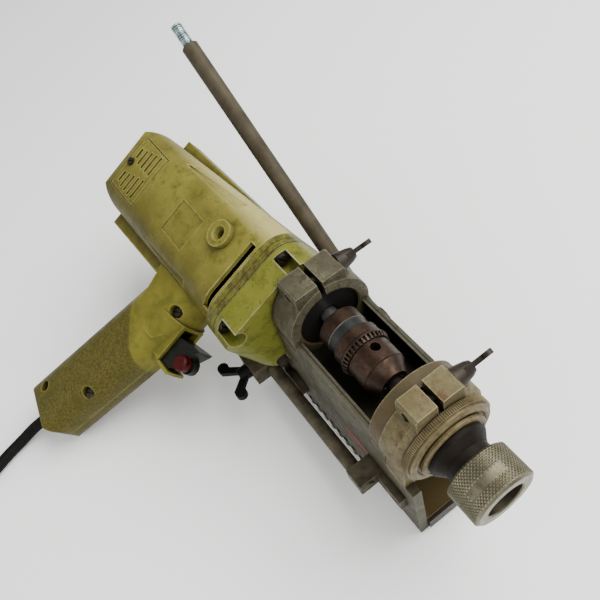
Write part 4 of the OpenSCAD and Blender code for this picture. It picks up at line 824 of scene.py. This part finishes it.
def screw_tree():
    """A slotted cheese-head screw on each place: a shank, a head, and a slot sawn half through the head."""
    tree, sizes = new_tree("slotted_screws", SCREW_SIZES)
    lift = add(tree, "ShaderNodeMath", {0: sizes["Head height"], 1: 0.5}, operation="MULTIPLY").outputs[0]
    head = {"Vertices": 28, "Radius": sizes["Head radius"], "Depth": sizes["Head height"]}
    head = add(tree, "GeometryNodeMeshCylinder", head).outputs["Mesh"]
    lift = add(tree, "ShaderNodeCombineXYZ", {"Z": lift}).outputs["Vector"]
    lifted = {"Geometry": head, "Translation": lift}
    head = add(tree, "GeometryNodeTransform", lifted).outputs["Geometry"]
    wide = add(tree, "ShaderNodeMath", {0: sizes["Head radius"], 1: 3}, operation="MULTIPLY").outputs[0]
    saw = {"X": wide, "Y": sizes["Slot width"], "Z": sizes["Head height"]}
    saw = add(tree, "ShaderNodeCombineXYZ", saw).outputs["Vector"]
    saw = add(tree, "GeometryNodeMeshCube", {"Size": saw}).outputs["Mesh"]
    over = add(tree, "ShaderNodeCombineXYZ", {"Z": sizes["Head height"]}).outputs["Vector"]
    angled = {"Geometry": saw, "Translation": over, "Rotation": (0, 0, SCREW_SLOT_TURN)}
    saw = add(tree, "GeometryNodeTransform", angled).outputs["Geometry"]
    cut = {"Mesh 1": head, "Mesh 2": saw}
    head = add(tree, "GeometryNodeMeshBoolean", cut, operation="DIFFERENCE").outputs["Mesh"]
    shank = {"Vertices": 20, "Radius": sizes["Shank radius"], "Depth": sizes["Shank length"]}
    shank = add(tree, "GeometryNodeMeshCylinder", shank).outputs["Mesh"]
    drop = add(tree, "ShaderNodeMath", {0: sizes["Shank length"], 1: -0.5}, operation="MULTIPLY").outputs[0]
    drop = add(tree, "ShaderNodeCombineXYZ", {"Z": drop}).outputs["Vector"]
    dropped = {"Geometry": shank, "Translation": drop}
    shank = add(tree, "GeometryNodeTransform", dropped).outputs["Geometry"]
    screw = add(tree, "GeometryNodeJoinGeometry", {"Geometry": head})
    tree.links.new(shank, screw.inputs["Geometry"])
    close_tree(tree, sizes["Places"], screw.outputs["Geometry"], DARK_STEEL)
    return tree


def drive_screws():
    """The slotted screws of gear case, handle, vent covers and stop blocks, where their plain solids are."""
    tree = screw_tree()
    out_of_side = drill_place(0, 0, 1) - drill_place(0, 0, 0)
    stop_seat = -WALL_FACE - FOOT_THICK + STOP_SCREW_SINK
    gear = [(drill_place(GEAR_SCREW_SEAT, y, z), (1, 0, 0)) for y, z in GEAR_SCREWS]
    handle = [(drill_place(x, y, HANDLE_SCREW_SEAT), out_of_side) for x, y in HANDLE_SCREWS]
    vent = [(drill_place(*VENT_SCREW, side * VENT_SCREW_SEAT), side * out_of_side) for side in (1, -1)]
    stop = [((x, stop_seat, z), (0, -1, 0)) for x, z in STOP_SCREWS]
    for name, sizes, spread, solid in [
        ("gear_screw_heads", (4, 3, 2, 13.5, 1.1), gear, "gear_screws"),
        ("handle_screw_heads", (3.6, 2.2, 1.7, 24, 1), handle, "handle_screws"),
        ("vent_screw_heads", (3, 1.6, 1.5, 7.2, 0.9), vent, "vent_screws"),
        ("stop_screw_heads", (4, 2.4, 2.5, 8.2, 1.1), stop, "block_screws"),
    ]:
        grown(name, tree, dict(zip(SCREW_SIZES, sizes)), spread, "carrier", [solid])


def cut_diamond_knurl():
    """Rows of small four-sided points round the nut, set diagonally, with a bare field left among them."""
    tree, sizes = new_tree("diamond_knurl", ["Point radius", "Point height"])
    tip = {0: sizes["Point radius"], 1: NUT_POINT_TIP}
    tip = add(tree, "ShaderNodeMath", tip, operation="MULTIPLY").outputs[0]
    point = {"Radius Top": tip, "Radius Bottom": sizes["Point radius"], "Depth": sizes["Point height"]}
    point = add(tree, "GeometryNodeMeshCone", {"Vertices": 4, **point}).outputs["Mesh"]
    close_tree(tree, sizes["Places"], point, NUT_STEEL)
    pitch = 2 * math.pi * NUT_RADIUS / NUT_COLUMNS
    first, last = NUT_KNURL_RUN
    spread = []
    for row in range(int((last - first) / (pitch / 2)) + 1):
        x = first + row * pitch / 2
        for column in range(NUT_COLUMNS):
            angle = 2 * math.pi * (column + 0.5 * (row % 2)) / NUT_COLUMNS
            turned = math.degrees(math.atan2(-math.sin(angle), math.cos(angle)))
            in_field = BARE_FIELD_RUN[0] < x < BARE_FIELD_RUN[1]
            if in_field and BARE_FIELD_TURN[0] < turned < BARE_FIELD_TURN[1]:
                continue
            way = Vector((0, math.sin(angle), math.cos(angle)))
            spread.append((Vector((x, 0, AXIS_HEIGHT)) + way * (NUT_RADIUS - NUT_POINT_SINK), way))
    size = {"Point radius": pitch / 2 * NUT_POINT_FILL, "Point height": NUT_POINT_HEIGHT}
    grown("nut_knurl", tree, size, spread, "nut")


def cut_straight_knurl():
    """Fine ridges along the rim of the ring behind the spindle nose."""
    tree, sizes = new_tree("straight_knurl", ["Ridge height", "Ridge length"])
    ridge = {"Vertices": 3, "Radius": sizes["Ridge height"], "Depth": sizes["Ridge length"]}
    ridge = add(tree, "GeometryNodeMeshCylinder", ridge).outputs["Mesh"]
    along = {"Geometry": ridge, "Rotation": (0, -math.pi / 2, 0)}
    ridge = add(tree, "GeometryNodeTransform", along).outputs["Geometry"]
    close_tree(tree, sizes["Places"], ridge, RING_STEEL)
    middle = Vector((RING_BACK + RING_WIDTH / 2, 0, AXIS_HEIGHT))
    spread = []
    for ridge in range(RING_RIDGES):
        angle = 2 * math.pi * ridge / RING_RIDGES
        way = Vector((0, math.sin(angle), math.cos(angle)))
        spread.append((middle + way * (RING_RADIUS - RING_RIDGE_SINK), way))
    size = {"Ridge height": RING_RIDGE_HEIGHT, "Ridge length": RING_WIDTH - RING_RIDGE_MARGIN}
    grown("ring_knurl", tree, size, spread, "ring")


def cut_stud_thread():
    """The zinc-plated end of the lever: a core with one thread wound round it."""
    tree, sizes = new_tree("stud_thread", ["Core radius", "Length", "Pitch", "Depth"])
    core_radius = sizes["Core radius"]
    turns = {0: sizes["Length"], 1: sizes["Pitch"]}
    turns = add(tree, "ShaderNodeMath", turns, operation="DIVIDE").outputs[0]
    helix = {"Resolution": 28, "Rotations": turns, "Height": sizes["Length"]}
    helix = {**helix, "Start Radius": core_radius, "End Radius": core_radius}
    helix = add(tree, "GeometryNodeCurveSpiral", helix).outputs["Curve"]
    crest = {"Resolution": 3, "Radius": sizes["Depth"]}
    crest = add(tree, "GeometryNodeCurvePrimitiveCircle", crest).outputs["Curve"]
    wound = {"Curve": helix, "Profile Curve": crest, "Fill Caps": True}
    thread = add(tree, "GeometryNodeCurveToMesh", wound).outputs["Mesh"]
    core = {"Vertices": 32, "Radius": core_radius, "Depth": sizes["Length"]}
    core = add(tree, "GeometryNodeMeshCylinder", core).outputs["Mesh"]
    lift = add(tree, "ShaderNodeMath", {0: sizes["Length"], 1: 0.5}, operation="MULTIPLY").outputs[0]
    lift = add(tree, "ShaderNodeCombineXYZ", {"Z": lift}).outputs["Vector"]
    core = add(tree, "GeometryNodeTransform", {"Geometry": core, "Translation": lift}).outputs["Geometry"]
    both = add(tree, "GeometryNodeJoinGeometry", {"Geometry": thread})
    tree.links.new(core, both.inputs["Geometry"])
    close_tree(tree, sizes["Places"], both.outputs["Geometry"], ZINC)
    rise = math.radians(LEVER_RISE)
    way = Vector((-math.cos(rise), 0, math.sin(rise)))
    start = Vector(LEVER_PIVOT) + way * (LEVER_LENGTH - STUD_LENGTH)
    size = {
        "Core radius": THREAD_CORE,
        "Length": STUD_LENGTH,
        "Pitch": THREAD_PITCH,
        "Depth": THREAD_DEPTH,
    }
    grown("stud_thread", tree, size, [(start, way)], "feed_lever", ["lever_stud"])


drive_screws()
cut_diamond_knurl()
cut_straight_knurl()
cut_stud_thread()


# Floor and light


def light_and_floor():
    """A plain pale floor just under the object, an even pale sky and soft lights."""
    floor_mesh = bpy.data.meshes.new("floor")
    shape = bmesh.new()
    bmesh.ops.create_grid(shape, x_segments=1, y_segments=1, size=FLOOR_HALF / 1000)
    shape.to_mesh(floor_mesh)
    shape.free()
    floor = bpy.data.objects.new("floor", floor_mesh)
    floor.location.z = -FLOOR_DROP / 1000
    bpy.context.scene.collection.objects.link(floor)
    made, _, shader, _ = new_material("pale_studio_floor", 0, 0.9)
    shader.inputs["Base Color"].default_value = colour("#fafaf8")
    floor.data.materials.append(made)
    world = bpy.data.worlds.new("studio")
    world.use_nodes = True
    sky = world.node_tree.nodes["Background"]
    sky.inputs["Color"].default_value = colour("#f7f8fa")
    sky.inputs["Strength"].default_value = SKY_STRENGTH
    bpy.context.scene.world = world
    for name, (place, aim, size, watts) in LIGHTS.items():
        lamp = bpy.data.lights.new(name, "AREA")
        lamp.energy = watts
        lamp.size = size
        held = bpy.data.objects.new(name, lamp)
        held.location = place
        held.rotation_euler = (Vector(aim) - Vector(place)).to_track_quat("-Z", "Y").to_euler()
        bpy.context.scene.collection.objects.link(held)


light_and_floor()
